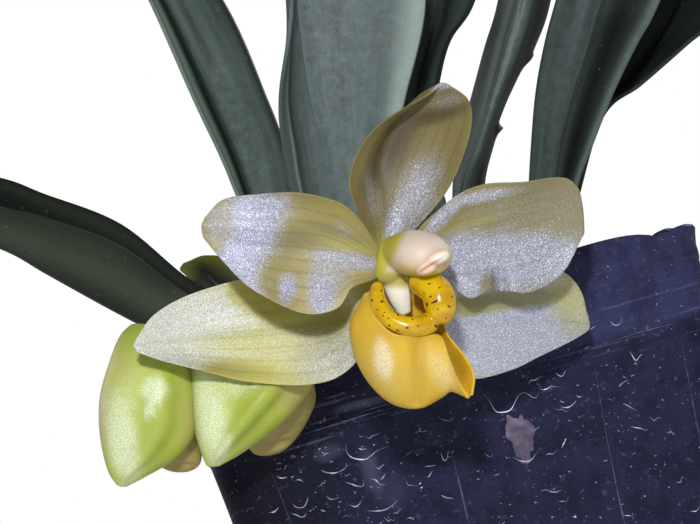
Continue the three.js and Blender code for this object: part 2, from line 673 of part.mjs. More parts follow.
for (const [name, { material, ...shape }] of Object.entries(TEPALS)) {
  const body = blade({ ...shape, columns: 8, rows: 14 });
  place(name, cut(body, [hub(SEAT_GAP), ...columnSeats]), material, face);
}

// Callus: a horseshoe of flesh in the mouth of the lip, its right arm swollen
const CALLUS = [
  {
    path: [
      [-2.8, -3.2, 3.4], [-2.8, -5, 4.6], [-1.5, -6.8, 5.8], [0.6, -8, 6.4], [2.8, -7.9, 6.2],
      [4.4, -7.2, 5.6],
    ],
    sizes: [0.7, 1, 1.1, 1.15, 1.2, 1.2],
  },
  {
    path: [[1.9, -3.4, 3.6], [3.4, -3.1, 4.8], [4.7, -3.9, 5.6], [5, -5.8, 6], [4.9, -8, 5.8]],
    sizes: [0.8, 1.4, 1.7, 1.75, 1.2],
  },
];
const callus = (grow = 0) =>
  CALLUS.map((arm) => limb({ ...arm, grow, sides: 9, steps: 12, up: [0, 0.2, 1] }));
place("lip_callus", cutFrom(unite(callus()), columnSeats), "callus", face);

// Lip: a deep pouch, open on its right, that ends in a pointed spout
const LIP = {
  keel: [
    [-3.5, -4.2, 0.6], [-5.3, -8, -0.6], [-4.8, -12, -1.2], [-3.1, -15.4, -1.2],
    [-0.5, -17.7, -0.8], [2.6, -18.2, 0], [5.2, -16.9, 0.9], [6.6, -16, 1.8], [8.7, -16.8, 3.6],
  ],
  mouth: [
    [-2.2, -4, 2], [-1, -6.4, 2.6], [1.6, -8, 3], [4.2, -8.7, 3], [5.8, -9.9, 3.2],
    [7.1, -11.8, 3.6], [8.2, -14, 4], [8.9, -16.4, 4],
  ],
  halfDepth: [1.6, 3.4, 4.2, 4.4, 4.2, 3.2, 2, 1.2, 0.5],
  reach: 100, // degrees from the keel to each margin
};
function lipGeometry() {
  const rows = 16;
  const columns = 12;
  const keel = curveThrough(LIP.keel);
  const mouth = curveThrough(LIP.mouth);
  const grid = [];
  for (let r = 0; r <= rows; r++) {
    const t = r / rows;
    const middle = mouth.getPoint(t);
    const down = keel.getPoint(t).sub(middle);
    const side = down.clone().cross(mouth.getTangent(t)).normalize();
    const depth = valueAt(LIP.halfDepth, t);
    grid.push(
      Array.from({ length: columns + 1 }, (_, c) => {
        const angle = rad(lerp(LIP.reach, -LIP.reach, c / columns));
        const point = middle.clone().addScaledVector(down, Math.cos(angle));
        return point.addScaledVector(side, depth * Math.sin(angle));
      }),
    );
  }
  const normalAt = (r, c) => {
    const along = grid[Math.min(r + 1, rows)][c].clone().sub(grid[Math.max(r - 1, 0)][c]);
    const across = grid[r][Math.min(c + 1, columns)].clone().sub(grid[r][Math.max(c - 1, 0)]);
    return across.cross(along).normalize();
  };
  const rings = grid.map((row, r) => {
    const wall = (side) =>
      row.map((p, c) => p.clone().addScaledVector(normalAt(r, c), (side * LIP_THICKNESS) / 2));
    return [...wall(1), ...wall(-1).reverse()];
  });
  return skin(rings, true);
}
place("lip", cut(lipGeometry(), [...callus(SEAT_GAP), columnFoot(SEAT_GAP)]), "lip", face);

// Buds: closed sepals with a pointed tip, and the rounded rear sepal behind them
const BUDS = {
  bud_left: {
    closed: {
      left: [
        [-33.1, -7.7, -12.6], [-35.4, -9.7, -12], [-37.1, -13.8, -11.4], [-38.1, -17.6, -11],
        [-38.2, -21.5, -10.8], [-37.7, -24.9, -10.6], [-36.9, -27.5, -10.4], [-35.8, -29.2, -10.2],
      ],
      right: [
        [-30.1, -8.3, -12.6], [-28, -10.6, -12], [-27.1, -14.7, -11.6], [-26.8, -18.9, -11.2],
        [-26.6, -22.7, -11], [-28.7, -25.8, -10.6], [-32.3, -28.1, -10.4], [-34.8, -29.4, -10.2],
      ],
      front: [1.2, 3, 4.6, 5, 4.6, 3.4, 2, 0.5],
      back: [1.2, 3, 4, 4.2, 3.8, 2.8, 1.6, 0.5],
    },
    rear: {
      left: [
        [-32, -17, -15], [-32.8, -22, -16.4], [-32.1, -25.4, -16.4], [-30.8, -27.2, -16],
        [-28.9, -27.8, -15.6],
      ],
      right: [
        [-27.6, -16, -15], [-26, -21, -16.4], [-25.4, -25.2, -16.4], [-25.6, -26.9, -16],
        [-26.8, -27.7, -15.6],
      ],
      front: [2, 3.4, 3, 2, 0.6],
      back: [2, 3, 2.6, 1.6, 0.6],
    },
  },
  bud_right: {
    closed: {
      left: [
        [-23.9, -9.6, -13], [-26, -12, -12], [-26.6, -15, -11.2], [-26.2, -18.9, -10.6],
        [-25.8, -22.3, -10], [-25, -24.9, -9.6], [-24.2, -26.6, -9.4],
      ],
      right: [
        [-18.9, -9.3, -13], [-12.4, -11.6, -12.6], [-10.7, -15.5, -12], [-12.4, -18.9, -11],
        [-15.9, -22.2, -10.2], [-20, -25.1, -9.6], [-22.9, -26.7, -9.4],
      ],
      front: [1.2, 3.2, 4.4, 4.8, 4, 2.4, 0.5],
      back: [1.2, 3, 4, 4, 3.2, 2, 0.5],
    },
    rear: {
      left: [
        [-18.4, -14.6, -15.4], [-19.4, -19, -17], [-19.6, -23.4, -17.2], [-18.8, -25.4, -16.8],
        [-17.2, -25.8, -16.4],
      ],
      right: [
        [-11.4, -13.6, -15.8], [-10.4, -18, -17.4], [-11.3, -21, -17.6], [-12.9, -23.5, -17.2],
        [-14.8, -25.2, -16.4],
      ],
      front: [2, 3.6, 3.4, 2.2, 0.6],
      back: [2, 3, 2.8, 1.8, 0.6],
    },
  },
};
for (const [name, { closed, rear }] of Object.entries(BUDS)) {
  const top = closed.left[0].map((v, i) => (v + closed.right[0][i]) / 2);
  const above = [top[0] + 0.8, top[1] + 2.6, top[2] - 1.2];
  const stem = (grow = 0) =>
    limb({
      path: stalkPath(name, [above, top]),
      sizes: [1.3, 1.3, 1.2, 1.2, 1.3, 1.4, 1.5],
      sides: 8,
      steps: 20,
      up: [1, 0, 0],
      grow,
    });
  const seat = pod({ ...closed, grow: SEAT_GAP });
  const rearSepal = pod({ ...rear, sides: 12, steps: 10 });
  place(name + "_stalk", cut(stem(), [seat]), "stem", face);
  place(name, pod(closed), "bud", face);
  place(name + "_rear_sepal", cut(rearSepal, [seat, stem(SEAT_GAP)]), "bud", face);
}

export default plant;
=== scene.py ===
"""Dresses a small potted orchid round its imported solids: pot, bark, leaf fans, flower and buds."""

import logging
import math
import random
from collections.abc import Callable, Sequence
from dataclasses import dataclass, field
from enum import Enum
from functools import cached_property, reduce

import bpy
import numpy as np
from mathutils import Matrix, Vector, noise


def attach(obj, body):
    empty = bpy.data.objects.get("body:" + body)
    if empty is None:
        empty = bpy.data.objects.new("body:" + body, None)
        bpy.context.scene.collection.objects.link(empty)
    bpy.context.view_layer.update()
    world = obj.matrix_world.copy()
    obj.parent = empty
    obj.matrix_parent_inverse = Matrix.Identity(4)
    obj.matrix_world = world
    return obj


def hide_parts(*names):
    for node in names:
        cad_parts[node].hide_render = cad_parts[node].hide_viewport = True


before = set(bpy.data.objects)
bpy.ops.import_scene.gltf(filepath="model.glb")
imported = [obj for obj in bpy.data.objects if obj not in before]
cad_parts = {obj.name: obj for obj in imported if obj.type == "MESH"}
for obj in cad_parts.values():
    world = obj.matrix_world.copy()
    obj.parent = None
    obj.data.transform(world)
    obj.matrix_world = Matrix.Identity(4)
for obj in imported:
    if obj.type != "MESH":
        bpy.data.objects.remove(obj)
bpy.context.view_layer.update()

log = logging.getLogger("orchid")
Point = tuple[float, ...]
Rail = list[Point]
Rails = tuple[Rail, Rail, Rail]
Array = np.ndarray
Placer = Callable[[Array, Array], Array]
Relief = Callable[[Array, Array], Array]
Mover = Callable[[Array], Array]
Socket = bpy.types.NodeSocket

MM = 0.001
BODY = "root"

# Driving dimensions in millimetres, as the solids have them
POT_HEIGHT = 78.0
POT_RIM = 73.4
POT_BASE = 60.0
POT_WALL = 1.1
LEDGE_DROP = 13.0
BARK_TOP = POT_HEIGHT - 11.0
LEDGE = POT_HEIGHT - LEDGE_DROP
FLOWER_CENTRE = (-3.9, -61.3, POT_HEIGHT + 6.0)
FACE_TILT = 3.0
FACE_ROLL = 16.0
FAN_LEFT = (-17.0, -2.0)
FAN_RIGHT = (9.0, 2.0)
SEED = 20
QUARTER = math.pi / 2

# How finely the glittering cells of the flesh are grained, in cells a metre
CELLS = 6900.0


def tone(code: str) -> tuple[float, float, float, float]:
    """Turns a paint's hex code into the linear colour that a shader takes.

    Args:
        code: Red, green and blue as six hex digits after a hash sign.

    Returns:
        Red, green, blue and an alpha of 1.
    """
    parts = [int(code[i : i + 2], 16) / 255 for i in (1, 3, 5)]
    linear = [p / 12.92 if p <= 0.04045 else ((p + 0.055) / 1.055) ** 2.4 for p in parts]
    return (linear[0], linear[1], linear[2], 1.0)


def spline(a: Array, b: Array, c: Array, d: Array, w: Array) -> Array:
    """Reads the smooth curve between b and c at a share w; a and d are one step further out."""
    start, end = (c - a) / 2, (d - b) / 2
    return b + start * w + (3 * (c - b) - 2 * start - end) * w**2 + (2 * (b - c) + start + end) * w**3


def run_of(values: Sequence[float], share: Array) -> Array:
    """Reads a smooth run of numbers.

    Args:
        values: The numbers at equal steps.
        share: Shares of the run's length, 0 to 1.

    Returns:
        One number for each share.
    """
    run = np.asarray(values, float)
    if len(run) == 1:
        return np.full(np.shape(share), run[0])
    padded = np.concatenate([run[:1], run, run[-1:]])
    place = np.clip(share, 0, 1) * (len(run) - 1)
    i = np.minimum(place.astype(int), len(run) - 2)
    return spline(padded[i], padded[i + 1], padded[i + 2], padded[i + 3], place - i)


def soft_step(value: Array, low: float, high: float) -> Array:
    """Rises smoothly from 0 at low to 1 at high, which may be below low."""
    t = np.clip((value - low) / (high - low), 0, 1)
    return t * t * (3 - 2 * t)


def bell(value: Array, centre: Array | float, width: float) -> Array:
    """A smooth bump of height 1 at centre, which has faded to a third at centre plus width."""
    return np.exp(-(((value - centre) / width) ** 2))


def ripple_noise(points: Array, size: float, offset: float = 0.0) -> Array:
    """Smooth noise from about -1 to 1, with lumps of the size given; the offset shifts its pattern."""
    return np.array([noise.noise(Vector(p) / size + Vector((offset, 0, 0))) for p in points])


def unit(vectors: Array) -> Array:
    """Scales each row to length 1."""
    return vectors / np.maximum(np.linalg.norm(vectors, axis=-1, keepdims=True), 1e-9)


class Curve:
    """A smooth curve through a few points, in millimetres."""

    DIVISIONS = 200
    NEAR = 1e-4

    def __init__(self, points: Sequence[Sequence[float]]) -> None:
        """Takes the points that the curve passes through.

        Args:
            points: At least two points.
        """
        inner = np.asarray(points, float)
        self.spans = len(inner) - 1
        self.points = np.vstack([2 * inner[0] - inner[1], inner, 2 * inner[-1] - inner[-2]])
        self.shares = np.linspace(0, 1, self.DIVISIONS + 1)
        steps = np.linalg.norm(np.diff(self.at(self.shares), axis=0), axis=1)
        self.lengths = np.concatenate([[0], np.cumsum(steps)])

    def at(self, share: Array) -> Array:
        """Points on the curve.

        Args:
            share: Shares of its spans, 0 to 1.

        Returns:
            One point for each share.
        """
        place = np.clip(np.asarray(share, float), 0, 1) * self.spans
        i = np.minimum(place.astype(int), self.spans - 1)
        p = self.points
        return spline(p[i], p[i + 1], p[i + 2], p[i + 3], (place - i)[..., None])

    def spaced(self, share: Array) -> Array:
        """Points at shares of the curve's length."""
        return self.at(np.interp(np.asarray(share) * self.lengths[-1], self.lengths, self.shares))

    def tangent(self, share: Array) -> Array:
        """Directions of length 1 at shares of the curve's spans."""
        share = np.asarray(share)
        return unit(self.at(share + self.NEAR) - self.at(share - self.NEAR))


class FlowerFace:
    """The flower's own axes: x to the right, y up and z to the viewer, from its centre."""

    def __init__(self) -> None:
        """Works out the turn from the flower's tilt and roll."""
        tilt = Matrix.Rotation(math.radians(90 + FACE_TILT), 3, "X")
        roll = Matrix.Rotation(math.radians(-FACE_ROLL), 3, "Z")
        self.turn = np.array(tilt @ roll)
        self.centre = np.array(FLOWER_CENTRE)

    def out(self, points: Array) -> Array:
        """Takes points on the flower's axes to the plant's."""
        return np.asarray(points) @ self.turn.T + self.centre

    def back(self, points: Array) -> Array:
        """Takes points on the plant's axes to the flower's."""
        return (np.asarray(points) - self.centre) @ self.turn


FACE = FlowerFace()


class Tint(Enum):
    """What a painted zone of a piece shows, as a channel of its colour attribute."""

    # PEARL: pearly glitter, a painted highlight on tepals, lip, buds and anther; pale zones on the column
    # and a bloom on leaves
    PEARL = 0
    # GREEN: the flesh's own greener or paler tone; on some leaf margins in part a painted highlight
    GREEN = 1
    # DARK: mostly painted shade in folds and shadows; specks on the callus and a brown nick on the right
    # petal
    DARK = 2
    GOLD = 3


Paint = dict[Tint, list[Point]]


@dataclass(frozen=True)
class Patch:
    """A soft spot by its place on the flower's face, in millimetres, turned by degrees."""

    x: float
    y: float
    wide: float
    high: float
    turn: float
    strength: float
    edge: float

    UNEVEN = 0.14

    def cover(self, x: Array, y: Array, wobble: Array) -> Array:
        """Says how much the patch covers each place.

        Args:
            x: Places to the right on the flower's face.
            y: Places up on the flower's face.
            wobble: Noise that makes the patch's edge uneven.

        Returns:
            Shares from 0 to 1.
        """
        c, s = math.cos(math.radians(self.turn)), math.sin(math.radians(self.turn))
        dx, dy = x - self.x, y - self.y
        across = (dx * c + dy * s) / self.wide
        along = (dy * c - dx * s) / self.high
        far = np.hypot(across, along) + self.UNEVEN * wobble
        return soft_step(far, 1 + self.edge, 1 - self.edge)


@dataclass(frozen=True)
class Stripe:
    """A soft stripe along a leaf, where u goes from -1 to 1 across it and v from 0 to 1 along it."""

    base: float
    tip: float
    width: float
    low: float
    high: float
    strength: float

    FADE = 0.06

    def cover(self, u: Array, v: Array) -> Array:
        """Says how much the stripe covers each place of the leaf.

        Args:
            u: Places across the leaf.
            v: Places along it.

        Returns:
            Shares from 0 to 1.
        """
        middle = self.base + (self.tip - self.base) * v
        starts = soft_step(v, self.low - self.FADE, self.low + self.FADE)
        ends = soft_step(v, self.high + self.FADE, self.high - self.FADE)
        return bell(u, middle, self.width) * starts * ends * self.strength


class Workshop:
    """Primitives that are added, shaped and finished as by hand."""

    ZONES = "zones"
    SMOOTH_BELOW = math.radians(50)

    @staticmethod
    def clear() -> None:
        bpy.ops.object.select_all(action="DESELECT")

    @staticmethod
    def read(piece: bpy.types.Object) -> Array:
        """The piece's vertices.

        Args:
            piece: The object to read.

        Returns:
            Their places in metres.
        """
        co = np.zeros(len(piece.data.vertices) * 3)
        piece.data.vertices.foreach_get("co", co)
        return co.reshape(-1, 3)

    @staticmethod
    def write(piece: bpy.types.Object, points: Array) -> None:
        """Moves the piece's vertices to new places in metres."""
        piece.data.vertices.foreach_set("co", np.asarray(points, float).ravel())
        piece.data.update()

    @classmethod
    def sheet(cls, name: str, columns: int, rows: int, place: Placer) -> bpy.types.Object:
        """Adds a grid and lays it along a surface.

        Args:
            name: Name of the piece.
            columns: Faces across.
            rows: Faces along.
            place: Gives places in millimetres from u, -1 to 1, and v, 0 to 1.

        Returns:
            The open sheet.
        """
        cls.clear()
        bpy.ops.mesh.primitive_grid_add(x_subdivisions=columns, y_subdivisions=rows, size=2)
        piece = bpy.context.object
        piece.name = piece.data.name = name
        flat = cls.read(piece)
        cls.write(piece, place(flat[:, 0], (flat[:, 1] + 1) / 2) * MM)
        return piece

    @classmethod
    def ball(cls, name: str, sides: int, steps: int, place: Placer) -> bpy.types.Object:
        """Adds a sphere and draws it out along a body.

        Args:
            name: Name of the piece.
            sides: Faces round it.
            steps: Rings along it.
            place: Gives places in millimetres from an angle in radians and a share of the length.

        Returns:
            The closed body.
        """
        cls.clear()
        bpy.ops.mesh.primitive_uv_sphere_add(segments=sides, ring_count=steps, radius=1)
        piece = bpy.context.object
        piece.name = piece.data.name = name
        round_ = cls.read(piece)
        share = 1 - np.arccos(np.clip(round_[:, 2], -1, 1)) / math.pi
        cls.write(piece, place(np.arctan2(round_[:, 1], round_[:, 0]), share) * MM)
        cls.face_out(piece)
        return piece

    @classmethod
    def face_out(cls, piece: bpy.types.Object) -> None:
        """Turns the faces of a closed piece outwards.

        Args:
            piece: The object to turn right.
        """
        cls.clear()
        piece.select_set(True)
        bpy.context.view_layer.objects.active = piece
        bpy.ops.object.mode_set(mode="EDIT")
        bpy.ops.mesh.select_all(action="SELECT")
        bpy.ops.mesh.normals_make_consistent(inside=False)
        bpy.ops.object.mode_set(mode="OBJECT")

    @classmethod
    def stack(cls, name: str, rings: Array, bottom: Point, top: Point) -> bpy.types.Object:
        """Draws a sphere out over rings that lie one above the other.

        Args:
            name: Name of the piece.
            rings: The points of each ring, in millimetres.
            bottom: The middle of the first ring's floor.
            top: The middle of the last ring's floor.

        Returns:
            The closed body.
        """
        count, sides = rings.shape[:2]

        def place(angle: Array, share: Array) -> Array:
            """Places on the rings, or in the middle at both ends.

            Args:
                angle: Angles round the body.
                share: Shares of the way from its bottom to its top.

            Returns:
                Points in millimetres.
            """
            row = np.rint(share * (count + 1)).astype(int) - 1
            column = np.rint(angle / (4 * QUARTER) * sides).astype(int) % sides
            points = rings[np.clip(row, 0, count - 1), column]
            points = np.where((row < 0)[:, None], bottom, points)
            return np.where((row >= count)[:, None], top, points)

        return cls.ball(name, sides, count + 1, place)

    @staticmethod
    def copy_of(model: bpy.types.Object) -> bpy.types.Object:
        """Copies a model with its mesh.

        Args:
            model: What is copied.

        Returns:
            The copy.
        """
        copy = model.copy()
        copy.data = model.data.copy()
        bpy.context.collection.objects.link(copy)
        return copy

    @classmethod
    def modify(cls, piece: bpy.types.Object, kind: str, **settings: object) -> None:
        """Adds a modifier and applies it.

        Args:
            piece: The object to modify.
            kind: Blender's name of the modifier.
            **settings: The modifier's own settings.
        """
        cls.clear()
        piece.select_set(True)
        bpy.context.view_layer.objects.active = piece
        modifier = piece.modifiers.new(kind.lower(), kind)
        for key, value in settings.items():
            setattr(modifier, key, value)
        bpy.ops.object.modifier_apply(modifier=modifier.name)

    @classmethod
    def thicken(cls, piece: bpy.types.Object, thickness: float, margin: float, u: Array) -> None:
        """Gives an open sheet its flesh, thinner at its margins.

        Args:
            piece: The open sheet.
            thickness: Thickness in the middle, in millimetres.
            margin: Thickness at the margins, as a share of that in the middle.
            u: Where each vertex lies across the sheet, -1 to 1.
        """
        group = piece.vertex_groups.new(name="flesh")
        for i, weight in enumerate(1 - np.abs(u) ** 4):
            group.add([i], float(weight), "REPLACE")
        cls.modify(
            piece,
            "SOLIDIFY",
            thickness=thickness * MM,
            offset=0.0,
            vertex_group="flesh",
            thickness_vertex_group=margin,
        )
        piece.vertex_groups.clear()
        cls.face_out(piece)

    @classmethod
    def join(cls, name: str, pieces: Sequence[bpy.types.Object]) -> bpy.types.Object:
        """Joins pieces into one object.

        Args:
            name: Name of the joined piece.
            pieces: What is joined; the first keeps its place in the file.

        Returns:
            The joined piece.
        """
        cls.clear()
        for piece in pieces:
            piece.select_set(True)
        bpy.context.view_layer.objects.active = pieces[0]
        if len(pieces) > 1:
            bpy.ops.object.join()
        pieces[0].name = pieces[0].data.name = name
        return pieces[0]

    @classmethod
    def fuse(
        cls, name: str, pieces: Sequence[bpy.types.Object], grain: float, rub: int = 6
    ) -> bpy.types.Object:
        """Grows closed bodies into one smooth body.

        Args:
            name: Name of the fused piece.
            pieces: Closed bodies that overlap.
            grain: Size of the new faces, in millimetres.
            rub: How often the seams are smoothed.

        Returns:
            The fused piece.
        """
        piece = cls.join(name, pieces)
        cls.modify(piece, "REMESH", mode="VOXEL", voxel_size=grain * MM)
        cls.modify(piece, "SMOOTH", factor=0.5, iterations=rub)
        return piece

    @staticmethod
    def uv_of(piece: bpy.types.Object) -> tuple[Array, Array]:
        """Where each vertex lies on the piece's own map.

        Args:
            piece: A piece that has a UV map.

        Returns:
            Shares across and along the map, for each vertex.
        """
        loops = np.zeros(len(piece.data.loops), np.int64)
        piece.data.loops.foreach_get("vertex_index", loops)
        flat = np.zeros(len(loops) * 2)
        piece.data.uv_layers.active.data.foreach_get("uv", flat)
        uv = np.zeros((len(piece.data.vertices), 2))
        uv[loops] = flat.reshape(-1, 2)
        return uv[:, 0], uv[:, 1]

    @classmethod
    def paint(cls, piece: bpy.types.Object, zones: Array) -> None:
        """Stores a piece's painted zones, four shares for each vertex."""
        layer = piece.data.attributes.new(cls.ZONES, "FLOAT_COLOR", "POINT")
        layer.data.foreach_set("color", np.clip(zones, 0, 1).astype(np.float32).ravel())

    @classmethod
    def hand_over(
        cls,
        piece: bpy.types.Object,
        finishes: Sequence["Finish"],
        slot: str,
        nodes: Sequence[str],
    ) -> bpy.types.Object:
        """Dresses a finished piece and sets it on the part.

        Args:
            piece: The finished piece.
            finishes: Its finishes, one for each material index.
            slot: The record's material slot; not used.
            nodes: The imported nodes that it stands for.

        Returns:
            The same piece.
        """
        cls.clear()
        piece.select_set(True)
        bpy.context.view_layer.objects.active = piece
        bpy.ops.object.shade_smooth_by_angle(angle=cls.SMOOTH_BELOW)
        while len(piece.data.materials) < len(finishes):
            piece.data.materials.append(None)
        for index, finish in enumerate(finishes):
            piece.data.materials[index] = finish.material()
        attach(piece, BODY)
        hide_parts(*nodes)
        log.info("%s: %d vertices", piece.name, len(piece.data.vertices))
        return piece


class Graph:
    """A material's nodes, with short names for what a finisher mixes."""

    def __init__(self, name: str) -> None:
        """Starts a material with one principled shader.

        Args:
            name: Name of the material.
        """
        self.material = bpy.data.materials.new(name)
        self.material.use_nodes = True
        self.tree = self.material.node_tree
        self.tree.nodes.clear()
        self.shader = self.node("BsdfPrincipled")
        self.tree.links.new(self.shader.outputs[0], self.node("OutputMaterial").inputs[0])

    def node(self, kind: str, *values: object) -> bpy.types.Node:
        """Adds a node.

        Args:
            kind: Blender's name of it, without the first words.
            *values: What its first sockets are fed with, in their order.

        Returns:
            The node.
        """
        node = self.tree.nodes.new("ShaderNode" + kind)
        for socket, value in zip(node.inputs, values):
            self.feed(socket, value)
        return node

    def feed(self, socket: Socket, value: object) -> None:
        """Links a socket, or sets it where the value is plain.

        Args:
            socket: What is fed.
            value: Another socket, a number, a vector or a colour's hex code.
        """
        if isinstance(value, Socket):
            self.tree.links.new(value, socket)
        else:
            socket.default_value = tone(value) if isinstance(value, str) else value

    def set(self, **values: object) -> None:
        """Sets the shader's sockets, named with underscores for spaces."""
        for key, value in values.items():
            self.feed(self.shader.inputs[key.replace("_", " ")], value)

    def soft(self, weight: float, radius: Point, scale: float) -> None:
        """Lets light into flesh: how much, how far by colour, and how deep in metres."""
        self.set(Subsurface_Weight=weight, Subsurface_Radius=radius, Subsurface_Scale=scale)

    @cached_property
    def place(self) -> Socket:
        """The place on the object, in metres."""
        return self.node("TexCoord").outputs["Object"]

    @cached_property
    def zones(self) -> dict[Tint, Socket]:
        """The painted zones, by tint.

        Returns:
            How much of each tint lies on the skin, 0 to 1.
        """
        node = self.node("Attribute")
        node.attribute_name = Workshop.ZONES
        split = self.node("SeparateColor", node.outputs["Color"])
        return dict(zip(Tint, [*split.outputs[:3], node.outputs["Alpha"]]))

    def own_map(self) -> Socket:
        """The place on the piece's own map."""
        return self.node("TexCoord").outputs["UV"]

    def parts(self, vector: Socket) -> tuple[Socket, ...]:
        """The x, y and z of a vector."""
        return tuple(self.node("SeparateXYZ", vector).outputs)

    def vector(self, x: object, y: object, z: object = 0.0) -> Socket:
        """A vector from three numbers."""
        return self.node("CombineXYZ", x, y, z).outputs[0]

    def math(self, operation: str, *terms: object) -> Socket:
        """One sum.

        Args:
            operation: Blender's name of it.
            *terms: Sockets or numbers.

        Returns:
            The result.
        """
        node = self.node("Math", *terms)
        node.operation = operation
        return node.outputs[0]

    def add(self, first: object, second: object) -> Socket:
        """The sum of two numbers."""
        return self.math("ADD", first, second)

    def scaled(self, value: object, factor: float, offset: float) -> Socket:
        """The value times a factor, plus an offset."""
        return self.math("MULTIPLY_ADD", value, factor, offset)

    def times(self, *factors: object) -> Socket:
        """The product of two or more numbers."""
        return reduce(lambda result, factor: self.math("MULTIPLY", result, factor), factors)

    def lines(self, across: object, count: float, sharp: float) -> Socket:
        """Thin lines, 0 to 1: a share across them, how many it holds, and how thin they are."""
        wave = self.math("SINE", self.times(across, count * 2 * math.pi))
        return self.math("POWER", self.scaled(wave, 0.5, 0.5), sharp)

    def step(self, value: object, low: float, high: float) -> Socket:
        """A smooth rise from 0 to 1.

        Args:
            value: The number to read.
            low: Where the rise starts.
            high: Where it ends; below low for a fall.

        Returns:
            A number from 0 to 1.
        """
        ends = (0.0, 1.0) if low < high else (1.0, 0.0)
        node = self.node("MapRange", value, min(low, high), max(low, high), *ends)
        node.interpolation_type = "SMOOTHSTEP"
        return node.outputs[0]

    def mix(self, share: object, first: object, second: object) -> Socket:
        """A mix of two colours.

        Args:
            share: How much of the second one shows.
            first: A socket or a hex code.
            second: A socket or a hex code.

        Returns:
            The mixed colour.
        """
        node = self.node("Mix", share)
        node.data_type = "RGBA"
        self.feed(node.inputs[6], first)
        self.feed(node.inputs[7], second)
        return node.outputs[2]

    def tinted(self, colour: object, codes: dict[Tint, str]) -> Socket:
        """Lays painted zones over a colour.

        Args:
            colour: The colour under them.
            codes: The tints in the order that they are laid in, each with its hex code.

        Returns:
            The covered colour.
        """
        for tint, code in codes.items():
            colour = self.mix(self.zones[tint], colour, code)
        return colour

    def noise(self, scale: float, detail: float = 2.0, rough: float = 0.5, at: object = None) -> Socket:
        """Smooth noise from 0 to 1.

        Args:
            scale: Lumps in a metre.
            detail: How many finer layers it has.
            rough: How much the finer layers show.
            at: Where it is read, or None for the place on the object.

        Returns:
            The noise.
        """
        node = self.node("TexNoise", self.place if at is None else at)
        for key, value in (("Scale", scale), ("Detail", detail), ("Roughness", rough)):
            node.inputs[key].default_value = value
        return node.outputs[0]

    def glitter(self, share: object, grain: object) -> Socket:
        """How thickly glittering cells, a painted highlight, lie: single grains first, then a closed veil.

        Args:
            share: How much of the skin glitters, 0 to 1.
            grain: The noise that the grains follow.

        Returns:
            The veil's cover, 0 to 1.
        """
        level = self.scaled(grain, 2.2, -0.6)
        dots = self.step(self.math("SUBTRACT", share, level), -0.3, 0.35)
        return self.add(self.times(share, 0.62), self.times(dots, 0.3))

    def sparkle(self, colour: object, share: object, grain: object, spark: str, lit: str) -> Socket:
        """Lays glittering cells, a painted highlight, over flesh.

        Args:
            colour: The flesh under them.
            share: How much of it glitters, 0 to 1.
            grain: The noise that the cells follow.
            spark: Colour of the cells.
            lit: Colour of the few cells that face the light.

        Returns:
            The covered colour.
        """
        fine = self.noise(CELLS, 2.0, 0.6)
        veil = self.times(self.glitter(share, grain), self.scaled(self.step(fine, 0.34, 0.62), 0.5, 0.4))
        colour = self.mix(veil, colour, spark)
        return self.mix(self.times(share, self.step(fine, 0.55, 0.64), 0.75), colour, lit)

    def bump(self, height: object, depth: float, strength: float) -> None:
        """Raises the surface by height times depth, in metres.

        Args:
            height: The relief, 0 to 1.
            depth: What a height of 1 stands for.
            strength: How much of it shows.
        """
        node = self.node("Bump")
        for key, value in (("Strength", strength), ("Distance", depth), ("Height", height)):
            self.feed(node.inputs[key], value)
        self.set(Normal=node.outputs[0])


class Finish:
    """A finish that makes its material once."""

    name: str

    def dress(self, g: Graph) -> None:
        """Lays the finish's nodes into a new material."""
        raise NotImplementedError

    def material(self) -> bpy.types.Material:
        """The finish's material, made at its first use.

        Returns:
            The material.
        """
        found = bpy.data.materials.get(self.name)
        if found:
            return found
        g = Graph(self.name)
        self.dress(g)
        return g.material


